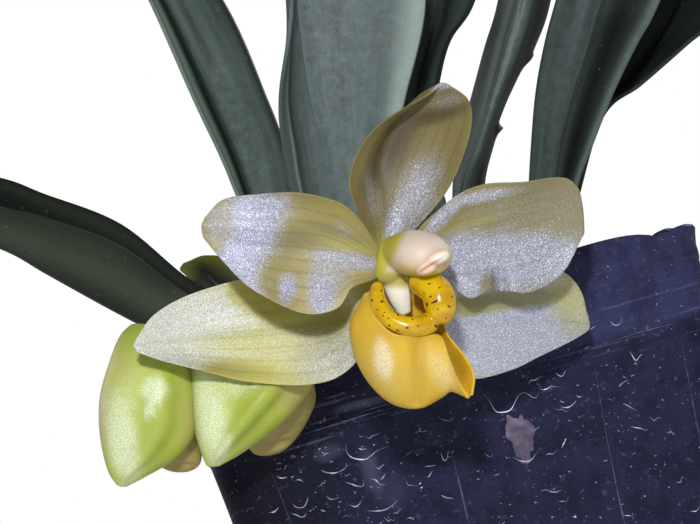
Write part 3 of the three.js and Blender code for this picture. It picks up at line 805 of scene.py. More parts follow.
@dataclass(frozen=True)
class TepalFinish(Finish):
    """Glistening flesh of a sepal or petal: olive, with veins, pearly zones of painted glitter highlight and
    painted shade in its dark zones.
    """

    name: str
    flesh: str = "#928638"
    vein: str = "#786c20"
    # This and shade are the bright and dim tones of the glitter, a painted highlight; spark is its brightest
    # cells.
    pearl_glint: str = "#b8bfe2"
    shade: str = "#8389ad"
    spark: str = "#fafaff"
    green: str = "#b4b03a"
    # Laid over the dark zones: painted shade in folds and shadow bands, and a brown nick.
    dark: str = "#5c4f1a"
    gold: str = "#b8a964"
    veins: float = 9.0
    vein_share: float = 0.5
    grit: float = 0.04

    def dress(self, g: Graph) -> None:
        """Lays veins, painted zones and a veil of pearly cells over the flesh; the veil is a painted glitter
        highlight and the dark zones painted shade.

        Args:
            g: The new material's nodes.
        """
        across, along, _ = g.parts(g.own_map())
        drift = g.noise(2.0, at=g.vector(g.times(across, 3.0), g.times(along, 2.0)))
        bent = g.add(across, g.scaled(drift, 0.05, -0.025))
        broad = g.lines(bent, self.veins, 7.0)
        fine = g.times(g.lines(bent, self.veins * 2.6, 4.0), 0.35)
        line = g.math("MAXIMUM", broad, fine)
        line = g.times(line, g.step(along, 0.0, 0.1), g.step(along, 1.0, 0.75), self.vein_share)
        colour = g.mix(g.noise(420.0, 3.0), self.flesh, g.mix(0.3, self.flesh, self.vein))
        colour = g.tinted(colour, {Tint.GREEN: self.green, Tint.GOLD: self.gold})
        colour = g.tinted(g.mix(line, colour, self.vein), {Tint.DARK: self.dark})
        grain = g.noise(4600.0, 3.0, 0.7)
        cells = g.noise(CELLS, 2.0, 0.6)
        veil = g.glitter(g.add(g.zones[Tint.PEARL], self.grit), grain)
        veil = g.times(veil, g.scaled(line, -0.5, 1.0), g.scaled(g.step(cells, 0.3, 0.6), 0.25, 0.75))
        colour = g.mix(veil, colour, g.mix(g.step(cells, 0.36, 0.64), self.shade, self.pearl_glint))
        colour = g.mix(g.times(veil, g.step(cells, 0.57, 0.66)), colour, self.spark)
        # The dark zones also dim the glitter over them: painted shade.
        colour = g.mix(g.times(g.zones[Tint.DARK], 0.3), colour, self.dark)
        g.set(Base_Color=colour, Roughness=g.scaled(veil, -0.16, 0.58), Specular_IOR_Level=0.7)
        g.set(Specular_Tint=(0.86, 0.88, 1.0, 1.0))
        g.soft(0.1, (1.0, 0.85, 0.3), 0.0012)
        g.bump(g.math("SUBTRACT", grain, g.times(line, 0.8)), 0.00004, 0.8)


@dataclass(frozen=True)
class LeafFinish(Finish):
    """Satin leaf skin with fine streaks along it, a bloom, pale margins that are in part a painted
    highlight, and painted shade where its zones are dark.
    """

    name: str
    skin: str = "#35433c"
    bloom: str = "#6e7d7a"
    margin: str = "#93a698"
    deep: str = "#0c110d"
    gold: str = "#5c5f1c"
    speck: str = "#aab4b2"

    def dress(self, g: Graph) -> None:
        """Lays a bloom, streaks, painted stripes and pale specks over the skin; the dark stripes are painted
        shade.

        Args:
            g: The new material's nodes.
        """
        across, along, _ = g.parts(g.own_map())
        streak = g.noise(1.0, 3.0, 0.65, g.vector(g.times(across, 60.0), g.times(along, 9.0)))
        broad = g.noise(1.0, at=g.vector(g.times(across, 7.0), g.times(along, 3.0)))
        mottle = g.noise(800.0, 4.0, 0.7)
        colour = g.mix(g.times(g.step(broad, 0.35, 0.7), 0.45), self.skin, self.bloom)
        colour = g.mix(g.times(g.zones[Tint.PEARL], g.step(mottle, 0.05, 0.8)), colour, self.bloom)
        colour = g.mix(g.times(g.step(streak, 0.52, 0.75), 0.2), colour, self.bloom)
        colour = g.mix(g.times(g.step(streak, 0.48, 0.25), 0.18), colour, self.deep)
        colour = g.mix(g.times(g.step(mottle, 0.55, 0.75), 0.3), colour, self.bloom)
        colour = g.mix(g.times(g.zones[Tint.GREEN], g.scaled(mottle, 0.5, 0.7)), colour, self.margin)
        # The dark zones, laid in the deep colour, are painted shade.
        colour = g.tinted(colour, {Tint.GOLD: self.gold, Tint.DARK: self.deep})
        colour = g.mix(g.times(g.step(g.noise(1500.0), 0.7, 0.78), 0.22), colour, self.speck)
        g.set(Base_Color=colour, Roughness=g.scaled(mottle, 0.16, 0.38), Specular_IOR_Level=0.22)
        g.bump(g.add(g.times(streak, 0.6), g.times(mottle, 0.4)), 0.0001, 0.5)


@dataclass(frozen=True)
class GoldFinish(Finish):
    """The lip's golden flesh, with a pearly painted highlight where it faces the light and painted shade
    where its zones are dark.
    """

    name: str = "lip_flesh"
    flesh: str = "#d2a706"
    pale: str = "#d9b94e"
    deep: str = "#b88c00"
    spark: str = "#fdf3d6"
    lit: str = "#fffdf4"

    def dress(self, g: Graph) -> None:
        """Lays pale clouds, painted zones and a few glittering cells over the flesh; the dark zones are
        painted shade and the cells a painted highlight.

        Args:
            g: The new material's nodes.
        """
        colour = g.mix(g.times(g.step(g.noise(260.0, 3.0), 0.3, 0.75), 0.4), self.flesh, self.pale)
        # The deep tone over the dark zones is painted shade in the lip's folds.
        colour = g.tinted(colour, {Tint.DARK: self.deep, Tint.GREEN: self.pale})
        grain = g.noise(4300.0, 2.0, 0.6)
        colour = g.sparkle(colour, g.add(g.zones[Tint.PEARL], 0.03), grain, self.spark, self.lit)
        g.set(Base_Color=colour, Roughness=0.45, Specular_IOR_Level=0.4)
        g.soft(0.2, (0.8, 0.6, 0.12), 0.002)
        g.bump(grain, 0.00003, 0.7)


@dataclass(frozen=True)
class CallusFinish(Finish):
    """Wet-looking yellow flesh with small red-brown specks."""

    name: str = "callus_flesh"
    flesh: str = "#d2ae00"
    deep: str = "#bd9000"
    speck: str = "#572609"

    def dress(self, g: Graph) -> None:
        """Lays deeper clouds and the painted specks over the flesh.

        Args:
            g: The new material's nodes.
        """
        colour = g.mix(g.step(g.noise(500.0), 0.35, 0.7), self.flesh, self.deep)
        edge = g.add(g.zones[Tint.DARK], g.scaled(g.noise(3800.0), 1.0, -0.5))
        colour = g.mix(g.step(edge, 0.3, 0.85), colour, self.speck)
        g.set(Base_Color=colour, Roughness=0.2, Specular_IOR_Level=0.5, Coat_Weight=0.15, Coat_Roughness=0.1)
        g.soft(0.2, (0.7, 0.6, 0.1), 0.0012)
        g.bump(g.noise(1500.0), 0.00005, 0.4)


@dataclass(frozen=True)
class ColumnFinish(Finish):
    """Waxy pinkish white, with a green-yellow edge where it is painted."""

    name: str
    flesh: str = "#d3c0b5"
    cloud: str = "#d8d2a8"
    green: str = "#b2a92a"
    gold: str = "#cfa93a"
    pale: str = "#f3efe0"
    dark: str = "#7a4a28"

    def dress(self, g: Graph) -> None:
        """Lays faint clouds and the painted zones over the flesh.

        Args:
            g: The new material's nodes.
        """
        colour = g.mix(g.times(g.noise(700.0), 0.25), self.flesh, self.cloud)
        colour = g.tinted(colour, {Tint.GOLD: self.gold, Tint.GREEN: self.green, Tint.PEARL: self.pale})
        colour = g.tinted(colour, {Tint.DARK: self.dark})
        g.set(Base_Color=colour, Roughness=0.5, Specular_IOR_Level=0.35)
        g.soft(0.3, (1.0, 0.6, 0.3), 0.002)
        g.bump(g.noise(3200.0), 0.00003, 0.5)


@dataclass(frozen=True)
class BudFinish(Finish):
    """Yellow-green bud flesh with a glitter that is a painted highlight, paler towards its tip, and painted
    shade where its zones are dark.
    """

    name: str
    flesh: str = "#a3b126"
    pale: str = "#bcc765"
    deep: str = "#84950f"
    gold: str = "#a8955a"
    spark: str = "#e2eecb"
    lit: str = "#ffffff"

    def dress(self, g: Graph) -> None:
        """Lays pale clouds, painted zones and glittering cells over the flesh; the dark zones are painted
        shade and the cells a painted highlight.

        Args:
            g: The new material's nodes.
        """
        cloud = g.step(g.noise(240.0, 3.0), 0.3, 0.75)
        colour = g.mix(cloud, self.flesh, g.mix(0.4, self.flesh, self.pale))
        colour = g.tinted(colour, {Tint.GREEN: self.pale, Tint.GOLD: self.gold, Tint.DARK: self.deep})
        grain = g.noise(4200.0, 3.0, 0.7)
        colour = g.sparkle(colour, g.add(g.zones[Tint.PEARL], 0.07), grain, self.spark, self.lit)
        g.set(Base_Color=colour, Roughness=0.5, Specular_IOR_Level=0.5)
        g.soft(0.15, (0.8, 1.0, 0.3), 0.0018)
        g.bump(grain, 0.00004, 0.7)


@dataclass(frozen=True)
class PotFinish(Finish):
    """Smoky dark plastic, soft and glossy, with dust and fine scratches, and a hazy painted reflection that
    lightens its right side and the top of its rim band.
    """

    name: str = "smoky_plastic"
    body: str = "#171722"
    # The next two tones are the painted reflection's: over the right side and on the top of the rim band.
    lit_haze: str = "#272843"
    band: str = "#36395c"
    dust: str = "#74789c"
    speck: str = "#a5a8c6"
    smudges: tuple[Point, ...] = (
        (-13.4, 67.7, 5.0, 0.7, 0.45),
        (-19.6, 62.6, 2.8, 1.5, 0.22),
        (-14.8, 58.6, 1.7, 4.0, 0.26),
        (-12.8, 55.2, 2.8, 3.2, 0.13),
    )

    def dress(self, g: Graph) -> None:
        """Lays a hazy painted reflection on the right side and the rim band, smudges, dust and scratches
        over the plastic.

        Args:
            g: The new material's nodes.
        """
        x, y, z = g.parts(g.place)
        broad = g.noise(38.0, 3.0, 0.55)
        cloud = g.noise(260.0, 5.0, 0.68)
        fine = g.noise(900.0, 3.0, 0.7)
        # Painted reflection: the right side is lightened with a cloudy haze where light reflects off the
        # pot.
        lean = g.step(g.add(x, g.scaled(broad, 0.06, -0.03)), -0.04, 0.0)
        colour = g.mix(g.times(lean, g.scaled(cloud, 0.9, 0.4)), self.body, self.lit_haze)
        # Painted highlight: the top of the rim band on the right is lighter where the light falls on it.
        lit_rim = g.times(g.step(z, 0.0655, 0.068), g.step(x, -0.01, 0.02), g.scaled(broad, 0.7, 0.4))
        colour = g.mix(lit_rim, colour, self.band)
        colour = g.mix(g.times(g.step(cloud, 0.55, 0.4), 0.35), colour, self.body)
        front = g.step(y, -0.02, -0.025)
        for s, up, wide, high, share in self.smudges:
            across = g.scaled(x, 1 / (wide * MM), -s / wide)
            along = g.scaled(z, 1 / (high * MM), -up / high)
            far = g.add(g.times(across, across), g.times(along, along))
            spot = g.step(g.add(far, g.scaled(cloud, 2.4, -1.2)), 1.1, -0.5)
            colour = g.mix(g.times(spot, front, share), colour, self.dust)
        colour = g.mix(g.times(g.step(fine, 0.58, 0.75), 0.22), colour, self.dust)
        streak = g.noise(1.0, 3.0, 0.6, g.vector(g.times(x, 70.0), 0.0, g.times(z, 1500.0)))
        near_ledge = g.times(g.step(z, 0.0615, 0.065), g.step(z, 0.0765, 0.071))
        colour = g.mix(g.times(near_ledge, g.step(streak, 0.57, 0.72), 0.3), colour, self.dust)
        colour = g.mix(g.times(g.step(g.noise(2300.0), 0.69, 0.76), 0.6), colour, self.speck)
        g.set(Base_Color=colour, Roughness=g.scaled(cloud, 0.3, 0.14), Specular_IOR_Level=0.05)
        g.bump(g.add(g.times(cloud, 0.6), g.times(streak, 0.12)), 0.0006, 0.35)


@dataclass(frozen=True)
class PlainFinish(Finish):
    """A mottled matt or satin finish for bark, roots, lime and the floor."""

    name: str
    light: str
    dark: str
    lump: float = 400.0
    rough: float = 0.85
    depth: float = 0.0003
    gloss: float = 0.3
    stretch: Point = (1.0, 1.0, 1.0)

    def dress(self, g: Graph) -> None:
        """Mottles the two colours.

        Args:
            g: The new material's nodes.
        """
        mapping = g.node("Mapping", g.place)
        mapping.inputs["Scale"].default_value = self.stretch
        fine = g.noise(self.lump, 5.0, 0.65, mapping.outputs[0])
        broad = g.noise(self.lump / 5, at=mapping.outputs[0])
        share = g.add(g.times(fine, 0.6), g.times(broad, 0.4))
        colour = g.mix(g.step(share, 0.36, 0.64), self.dark, self.light)
        g.set(Base_Color=colour, Roughness=self.rough, Specular_IOR_Level=self.gloss)
        g.bump(fine, self.depth, 0.8)


@dataclass(frozen=True)
class CrownFinish(Finish):
    """Grey-white roots and a green stem with dry brown sheath threads."""

    name: str = "crown_skin"

    def dress(self, g: Graph) -> None:
        """Mottles the roots and lays threads along the stem.

        Args:
            g: The new material's nodes.
        """
        x, y, z = g.parts(g.place)
        thread = g.noise(1.0, 3.0, at=g.vector(g.times(x, 2600.0), g.times(y, 2600.0), g.times(z, 160.0)))
        root = g.mix(g.noise(500.0, 4.0, 0.65), "#8f8a74", "#d3cdb8")
        stem = g.mix(g.step(thread, 0.4, 0.65), "#5d6b2c", "#8b7a45")
        g.set(Base_Color=g.mix(g.zones[Tint.GREEN], root, stem), Roughness=0.7, Specular_IOR_Level=0.3)
        g.bump(thread, 0.0002, 0.6)


def zone_table(count: int) -> Array:
    """An unpainted piece: four shares for each of its vertices."""
    return np.zeros((count, len(Tint)))


def paint_patches(piece: bpy.types.Object, paint: Paint) -> None:
    """Paints patches over a piece by their place on the flower's face.

    Args:
        piece: The finished piece.
        paint: The fields of each tint's patches, each laid over the ones before it.
    """
    local = FACE.back(Workshop.read(piece) / MM)
    zones = zone_table(len(local))
    wobble = ripple_noise(local, 1.6)
    for tint, rows in paint.items():
        for patch in (Patch(*row) for row in rows):
            share = patch.cover(local[:, 0], local[:, 1], wobble)
            zones[:, tint.value] += (patch.strength - zones[:, tint.value]) * share
    Workshop.paint(piece, zones)


@dataclass
class Blade:
    """A thin blade through three rails: one margin, the midrib and the other margin."""

    name: str
    rails: Rails
    fold: float = 2.0
    thickness: float = 0.75
    margin: float = 0.45
    columns: int = 46
    rows: int = 60
    toward: Point = (0.0, 0.0, 1.0)
    ripple: Relief | None = None
    relief: Relief | None = None

    NEAR = 0.012

    def surface(self, u: Array, v: Array) -> Array:
        """Places on the bare blade.

        Args:
            u: Places across it, -1 to 1.
            v: Places along it, 0 to 1.

        Returns:
            Points in millimetres.
        """
        left, middle, right = (Curve(rail).spaced(v) for rail in self.rails)
        rise = (left + right) / 2 - middle
        return middle + (right - left) * u[:, None] / 2 + rise * (np.abs(u) ** self.fold)[:, None]

    def shaped(self, u: Array, v: Array) -> Array:
        """Places on the blade with its waves and folds.

        Args:
            u: Places across it, -1 to 1.
            v: Places along it, 0 to 1.

        Returns:
            Points in millimetres.
        """
        lo, hi = np.clip(u - self.NEAR, -1, 1), np.clip(u + self.NEAR, -1, 1)
        across = self.surface(hi, v) - self.surface(lo, v)
        lo, hi = np.clip(v - self.NEAR, 0, 1), np.clip(v + self.NEAR, 0, 1)
        along = self.surface(u, hi) - self.surface(u, lo)
        normal = unit(np.cross(across, along))
        points = self.surface(u, v)
        if self.ripple:
            points = points + normal * self.ripple(u, v)[:, None]
        if self.relief:
            facing = np.sign((normal @ np.asarray(self.toward)).mean())
            points = points + normal * (facing * self.relief(u, v))[:, None]
        return points

    def build(self, out: Mover = lambda p: p, smooth: bool = True) -> bpy.types.Object:
        """Makes the closed blade.

        Args:
            out: Takes the blade's own axes to the plant's.
            smooth: Whether its faces are divided once more.

        Returns:
            The piece.
        """
        piece = Workshop.sheet(self.name, self.columns, self.rows, lambda u, v: out(self.shaped(u, v)))
        across, _ = Workshop.uv_of(piece)
        Workshop.thicken(piece, self.thickness, self.margin, across * 2 - 1)
        if smooth:
            Workshop.modify(piece, "SUBSURF", levels=1, render_levels=1)
        return piece


@dataclass
class Limb:
    """A round or oval body along a path."""

    path: Rail
    sizes: Sequence[float | tuple[float, float]]
    up: Point = (0.0, 0.0, 1.0)
    sides: int = 24
    steps: int = 40
    cap: float = 0.0

    def place(self, angle: Array, share: Array) -> Array:
        """Places on the body's skin.

        Args:
            angle: Angles round it, in radians.
            share: Shares of its length.

        Returns:
            Points in millimetres.
        """
        curve = Curve(self.path)
        centre, tangent = curve.at(share), curve.tangent(share)
        side = unit(np.cross(tangent, np.asarray(self.up, float)))
        top = np.cross(side, tangent)
        across = run_of([s[0] if isinstance(s, tuple) else s for s in self.sizes], share)
        upward = run_of([s[1] if isinstance(s, tuple) else s for s in self.sizes], share)
        inner = (share > 1e-6) & (share < 1 - 1e-6)
        if self.cap:
            end = np.clip(np.minimum(share, 1 - share) / self.cap, 0, 1)
            inner = inner * np.sqrt(1 - (1 - end) ** 2)
        across, upward = across * inner, upward * inner
        return centre + side * (np.cos(angle) * across)[:, None] + top * (np.sin(angle) * upward)[:, None]

    def build(self, name: str, out: Mover = lambda p: p) -> bpy.types.Object:
        """Makes the closed body, taken from its own axes to the plant's."""
        return Workshop.ball(name, self.sides, self.steps, lambda a, s: out(self.place(a, s)))


@dataclass
class Pod:
    """A plump body between two side lines, with a bulge to the front and to the back."""

    left: Rail
    right: Rail
    front: Sequence[float]
    back: Sequence[float]
    relief: Relief | None = None

    def place(self, angle: Array, share: Array) -> Array:
        """Places on the body's skin.

        Args:
            angle: Angles round it, in radians.
            share: Shares of its length.

        Returns:
            Points in millimetres.
        """
        left, right = Curve(self.left), Curve(self.right)
        middle = (left.at(share) + right.at(share)) / 2
        across = (right.at(share) - left.at(share)) / 2
        tangent = unit(left.tangent(share) + right.tangent(share))
        outward = unit(np.cross(tangent, across))
        bulge = np.where(np.sin(angle) > 0, run_of(self.front, share), run_of(self.back, share))
        inner = ((share > 1e-6) & (share < 1 - 1e-6)).astype(float)
        swell = inner * (1 + (self.relief(angle, share) if self.relief else 0))
        sideways = across * (np.cos(angle) * swell)[:, None]
        return middle + sideways + outward * (np.sin(angle) * bulge * swell)[:, None]

    def build(self, name: str, sides: int = 72, steps: int = 72) -> bpy.types.Object:
        """Makes the closed body on the plant's axes."""
        return Workshop.ball(name, sides, steps, lambda a, s: FACE.out(self.place(a, s)))


@dataclass
class Pot:
    """A square nursery pot with round corners, a stepped rim band and a panel in each side."""

    corner: float = 5.0
    panel_left: float = 7.6
    panel_right: float = 15.0
    panel_depth: float = 0.5
    panel_step: float = 0.4
    rim_wave: float = 1.8
    rim_bow: float = 0.3
    wave_length: float = 14.0
    corner_nub: float = 0.9
    ledge_width: float = 0.5
    lip_drop: float = 4.0
    rim_step: float = 1.8
    hole_radius: float = 3.2
    hole_inset: float = 9.0
    slot_inset: float = 8.0
    slot_size: tuple[float, float] = (12.0, 4.0)
    cut_depth: float = 4.4
    floor_top: float = POT_WALL + 0.4
    side_faces: int = 44
    corner_faces: int = 8

    def half_at(self, z: Array) -> Array:
        """Half of the wall's width at a height below the rim band."""
        return (POT_BASE + (POT_RIM - self.rim_step - POT_BASE) * np.asarray(z) / LEDGE) / 2

    def sunk(self, s: Array, half: Array) -> Array:
        """How much of the panel's depth a wall of that half width has at places along it."""
        left, right = self.panel_left - half, half - self.panel_right
        return soft_step(s, left - self.panel_step, left) * soft_step(s, right + self.panel_step, right)

    def profile(self) -> Array:
        """The wall's outside from its foot to its rim.

        Returns:
            Rows of height, half width, share of the panel's depth and share of the rim's wave.
        """
        band = float(self.half_at(LEDGE)) + self.ledge_width
        keys = [(0, POT_BASE / 2 - 0.8, 0, 0), (1, self.half_at(1), 0, 0), (5, self.half_at(5), 0, 0)]
        keys += [(6.5, self.half_at(6.5), 1, 0)]
        keys += [(z, self.half_at(z), 1, 0) for z in np.linspace(10, LEDGE - 6, 14)]
        keys += [(LEDGE - 3, self.half_at(LEDGE - 3), 1, 0), (LEDGE - 1.4, self.half_at(LEDGE - 1.4), 0, 0)]
        keys += [(LEDGE - 0.3, self.half_at(LEDGE - 0.3), 0, 0), (LEDGE, self.half_at(LEDGE) + 0.1, 0, 0)]
        keys += [(LEDGE + 0.4, band - 0.05, 0, 0), (LEDGE + 0.8, band, 0, 0), (LEDGE + 3.9, band, 0, 0)]
        keys += [(LEDGE + 4.3, band + 0.16, 0, 0), (LEDGE + 4.8, band + 0.18, 0, 0)]
        lip = POT_HEIGHT - self.lip_drop
        keys += [(lip - 0.2, band + 0.2, 0, 0), (lip + 0.3, band + 0.34, 0, 0)]
        keys += [(lip + 0.8, band + 0.34, 0, 0.1)]
        top = POT_RIM / 2
        keys += [(POT_HEIGHT - 2.2, top - 0.2, 0, 0.4), (POT_HEIGHT - 1, top - 0.1, 0, 0.75)]
        keys += [(POT_HEIGHT - 0.3, top, 0, 0.95), (POT_HEIGHT, top - 0.15, 0, 1)]
        return np.array(keys, float)

    def along(self) -> Array:
        """Places along one side from its left corner to its right one, for a half width of 1."""
        return np.linspace(-1, 1, self.side_faces + 1)

    def ring(self, z: float, half: float, panel: float, wave: float, inset: float) -> Array:
        """One ring of the wall.

        Args:
            z: Height in millimetres.
            half: Half of the width across the flats.
            panel: Share of the panel's depth.
            wave: Share of the rim's wave.
            inset: How far inside the outer skin the ring lies.

        Returns:
            The ring's points.
        """
        flat = half - self.corner
        s = self.along() * flat
        points = []
        for side in range(4):
            phase = s / self.wave_length + side * 1.9
            fade = 1 - (s / flat) ** 16
            height = self.rim_wave * wave
            bow = height * self.rim_bow * np.sin(phase * 1.3) * fade
            out = half - inset - self.sunk(s, half) * panel * self.panel_depth + bow
            rise = height * np.sin(phase) * fade
            row = [np.stack([s, -out, z + rise], 1)]
            turns = np.radians(np.linspace(0, 90, self.corner_faces + 1)[1:-1])
            reach = self.corner - inset + height * self.rim_bow
            nub = wave * self.corner_nub * np.sin(2 * turns) ** 0.5
            row.append(np.stack([flat + reach * np.sin(turns), -flat - reach * np.cos(turns), z + nub], 1))
            around = np.array(Matrix.Rotation(side * QUARTER, 3, "Z"))
            points.append(np.vstack(row) @ around.T)
        return np.vstack(points)

    def build(self) -> bpy.types.Object:
        """Makes the pot with its drain holes.

        Returns:
            The piece.
        """
        outer = self.profile()
        rings = [self.ring(*row, 0.0) for row in outer]
        rings.append(self.ring(POT_HEIGHT + 0.12, POT_RIM / 2, 0, 1, POT_WALL / 2))
        rings += [self.ring(*row, POT_WALL) for row in outer[::-1] if row[0] > self.floor_top]
        rings.append(self.ring(self.floor_top, POT_BASE / 2 - 0.4, 0, 0, POT_WALL))
        table = np.array(rings)
        table += self.dents(table)
        piece = Workshop.stack("square_pot", table, (0.0, 0.0, 0.0), (0.0, 0.0, self.floor_top))
        self.drill(piece)
        return piece

    def dents(self, table: Array) -> Array:
        """Slight unevenness of the soft wall.

        Args:
            table: The rings' points.

        Returns:
            Moves in millimetres, straight in or out.
        """
        flat = table.reshape(-1, 3)
        lumps = ripple_noise(flat * (1, 1, 0.6), 19.0) * 0.28 + ripple_noise(flat, 7.0, 5.0) * 0.06
        fade = soft_step(flat[:, 2], 2.0, 12.0)
        out = unit(flat * (1, 1, 0))
        return (out * (lumps * fade)[:, None]).reshape(table.shape)

    def drill(self, piece: bpy.types.Object) -> None:
        """Cuts the drain holes and slots through the pot's floor.

        Args:
            piece: The pot.
        """
        middle = POT_BASE / 2
        long, short = self.slot_size
        size = {"radius": self.hole_radius * MM, "depth": self.cut_depth * MM}
        cutters = []
        for side in range(4):
            turn = Matrix.Rotation(side * QUARTER, 4, "Z")
            Workshop.clear()
            hole = turn @ Vector((middle - self.hole_inset, self.hole_inset - middle, 0))
            bpy.ops.mesh.primitive_cylinder_add(vertices=32, location=hole * MM, **size)
            cutters.append(bpy.context.object)
            slot = turn @ Vector((0, self.slot_inset - middle, 0))
            bpy.ops.mesh.primitive_cube_add(size=MM, location=slot * MM)
            wide, deep = (long, short) if side % 2 == 0 else (short, long)
            bpy.context.object.scale = (wide, deep, self.cut_depth)
            bpy.ops.object.transform_apply(location=False, rotation=False, scale=True)
            cutters.append(bpy.context.object)
        cutter = Workshop.join("drain_cutter", cutters)
        Workshop.modify(piece, "BOOLEAN", operation="DIFFERENCE", object=cutter, solver="EXACT")
        bpy.data.objects.remove(cutter)

    def wall_at(self, s: Array, z: Array) -> Array:
        """How far the front wall's outside stands from the pot's middle, below the rim band.

        Args:
            s: Places along the wall.
            z: Heights.

        Returns:
            Distances in millimetres.
        """
        half = self.half_at(z)
        panel = np.clip((LEDGE - 1.4 - z) / 1.6, 0, 1) * np.clip((z - 5) / 1.5, 0, 1)
        return half - self.sunk(s, half) * panel * self.panel_depth


LIME_LINES: list[Rail] = [
    [(-17.0, 63.1), (-17.2, 62.0), (-16.8, 61.1), (-15.8, 60.5), (-14.9, 60.3), (-14.1, 60.6),
     (-13.1, 61.0), (-11.5, 61.2)],
    [(-21.4, 60.7), (-20.7, 60.1), (-19.7, 59.7), (-18.7, 59.7), (-17.9, 60.0), (-17.6, 60.6)],
    [(-27.2, 61.5), (-26.7, 61.0), (-25.8, 60.9)],
    [(-26.2, 57.3), (-25.8, 56.6), (-24.9, 56.4), (-24.3, 56.9), (-23.9, 57.6)],
    [(-26.8, 56.1), (-26.1, 55.6), (-25.4, 55.1), (-24.7, 55.5)],
    [(-15.1, 57.6), (-14.5, 57.2), (-14.1, 56.5), (-13.4, 56.2)],
    [(-13.8, 57.0), (-13.3, 57.4), (-13.0, 57.7)],
    [(-18.6, 58.1), (-17.8, 57.6), (-17.1, 57.1), (-16.4, 56.9), (-16.1, 57.5)],
    [(-18.8, 54.9), (-18.1, 54.5), (-17.4, 54.8), (-17.0, 55.3)],
    [(-21.6, 57.1), (-21.1, 56.4), (-20.2, 56.3), (-19.8, 56.4)],
    [(-29.6, 57.0), (-28.8, 56.9), (-28.1, 57.3)],
    [(-25.0, 60.2), (-24.4, 60.1), (-23.9, 59.6)],
    [(-16.9, 53.6), (-15.8, 53.2), (-14.3, 53.0), (-13.1, 53.4), (-12.3, 53.9)],
    [(-5.0, 58.4), (-4.9, 57.2), (-4.4, 57.4), (-3.9, 58.4)],
    [(-7.7, 57.2), (-6.9, 57.0), (-6.0, 56.9)],
    [(-6.6, 52.9), (-6.0, 52.3), (-5.0, 51.9)],
    [(2.5, 64.6), (2.9, 64.1), (3.3, 63.1), (3.7, 61.7), (4.6, 61.3), (5.6, 61.3), (6.3, 61.9), (7.1, 62.8),
     (7.9, 63.1), (8.5, 62.7), (9.0, 62.1), (9.6, 62.0), (9.9, 62.7)],
    [(8.8, 63.9), (9.3, 64.4), (9.9, 64.3), (10.7, 64.5), (11.2, 64.4)],
    [(4.2, 55.2), (4.7, 54.6), (5.5, 54.1), (6.4, 54.0), (7.3, 54.6), (7.9, 55.0)],
    [(23.3, 64.5), (23.5, 64.0), (23.8, 63.1), (24.5, 63.5), (25.0, 63.7)],
    [(20.2, 59.9), (20.6, 60.3), (21.4, 60.7), (22.2, 60.8)],
    [(20.1, 58.3), (21.0, 57.6), (21.8, 56.8), (22.2, 56.4)],
    [(12.2, 59.9), (13.2, 59.5), (14.2, 59.8), (14.7, 60.2)],
    [(10.2, 62.9), (11.0, 62.7), (12.0, 63.0)],
    [(12.8, 64.6), (13.1, 64.1), (13.6, 63.8), (14.3, 64.5)],
    [(8.5, 54.1), (9.0, 54.2), (9.5, 54.0), (10.2, 54.3)],
    [(10.9, 54.4), (11.4, 55.0), (12.0, 55.6)],
    [(0.7, 56.6), (1.2, 56.0), (1.8, 56.2)],
    [(6.5, 49.6), (7.3, 49.6), (7.8, 49.2), (8.5, 48.9), (9.4, 49.0)],
]
BAND_LINES: list[Rail] = [
    [(18.8, 72.5), (19.4, 72.1), (19.9, 71.5), (20.4, 72.1)],
    [(21.6, 69.6), (22.0, 68.9), (22.4, 68.4), (23.1, 68.5), (23.7, 69.4)],
    [(18.7, 68.6), (19.2, 68.9), (19.9, 69.1)],
    [(17.2, 66.4), (18.0, 66.6), (18.5, 66.6)],
    [(25.9, 67.6), (26.3, 66.9), (26.7, 66.4), (27.1, 67.1)],
    [(23.5, 72.6), (24.2, 72.2), (24.8, 71.8), (25.6, 72.1)],
]
SCUFFS: list[tuple[Rail, float]] = [
    ([(-20.4, 69.6), (-15.2, 69.8), (-11.3, 70.2)], 0.07),
    ([(-17.3, 69.9), (-14.1, 70.3), (-9.2, 70.7)], 0.05),
    ([(-22.9, 65.9), (-17.2, 66.0), (-12.9, 66.1), (-9.3, 66.0)], 0.08),
    ([(-14.1, 66.6), (-10.6, 66.7), (-6.9, 66.7)], 0.06),
    ([(18.7, 75.2), (22.2, 75.1), (26.6, 74.8), (29.8, 75.0)], 0.1),
    ([(16.3, 66.3), (25.3, 66.6), (31.5, 66.4)], 0.06),
]
# Creases in the walls, drawn as pale strips: a painted highlight along each crease.
CREASES: list[Rail] = [
    [(-27.9, 63.6), (-27.3, 56.9), (-26.7, 44.2), (-25.6, 28.0), (-24.8, 10.0)],
    [(18.4, 64.6), (17.8, 59.9), (17.1, 52.3), (16.4, 42.8), (15.4, 24.0), (14.6, 9.0)],
    [(30.5, 64.4), (30.0, 59.2), (29.4, 52.4), (28.6, 40.0), (27.6, 26.0)],
    [(-3.6, 60.2), (-3.7, 54.0), (-4.1, 46.0), (-4.2, 38.0)],
]


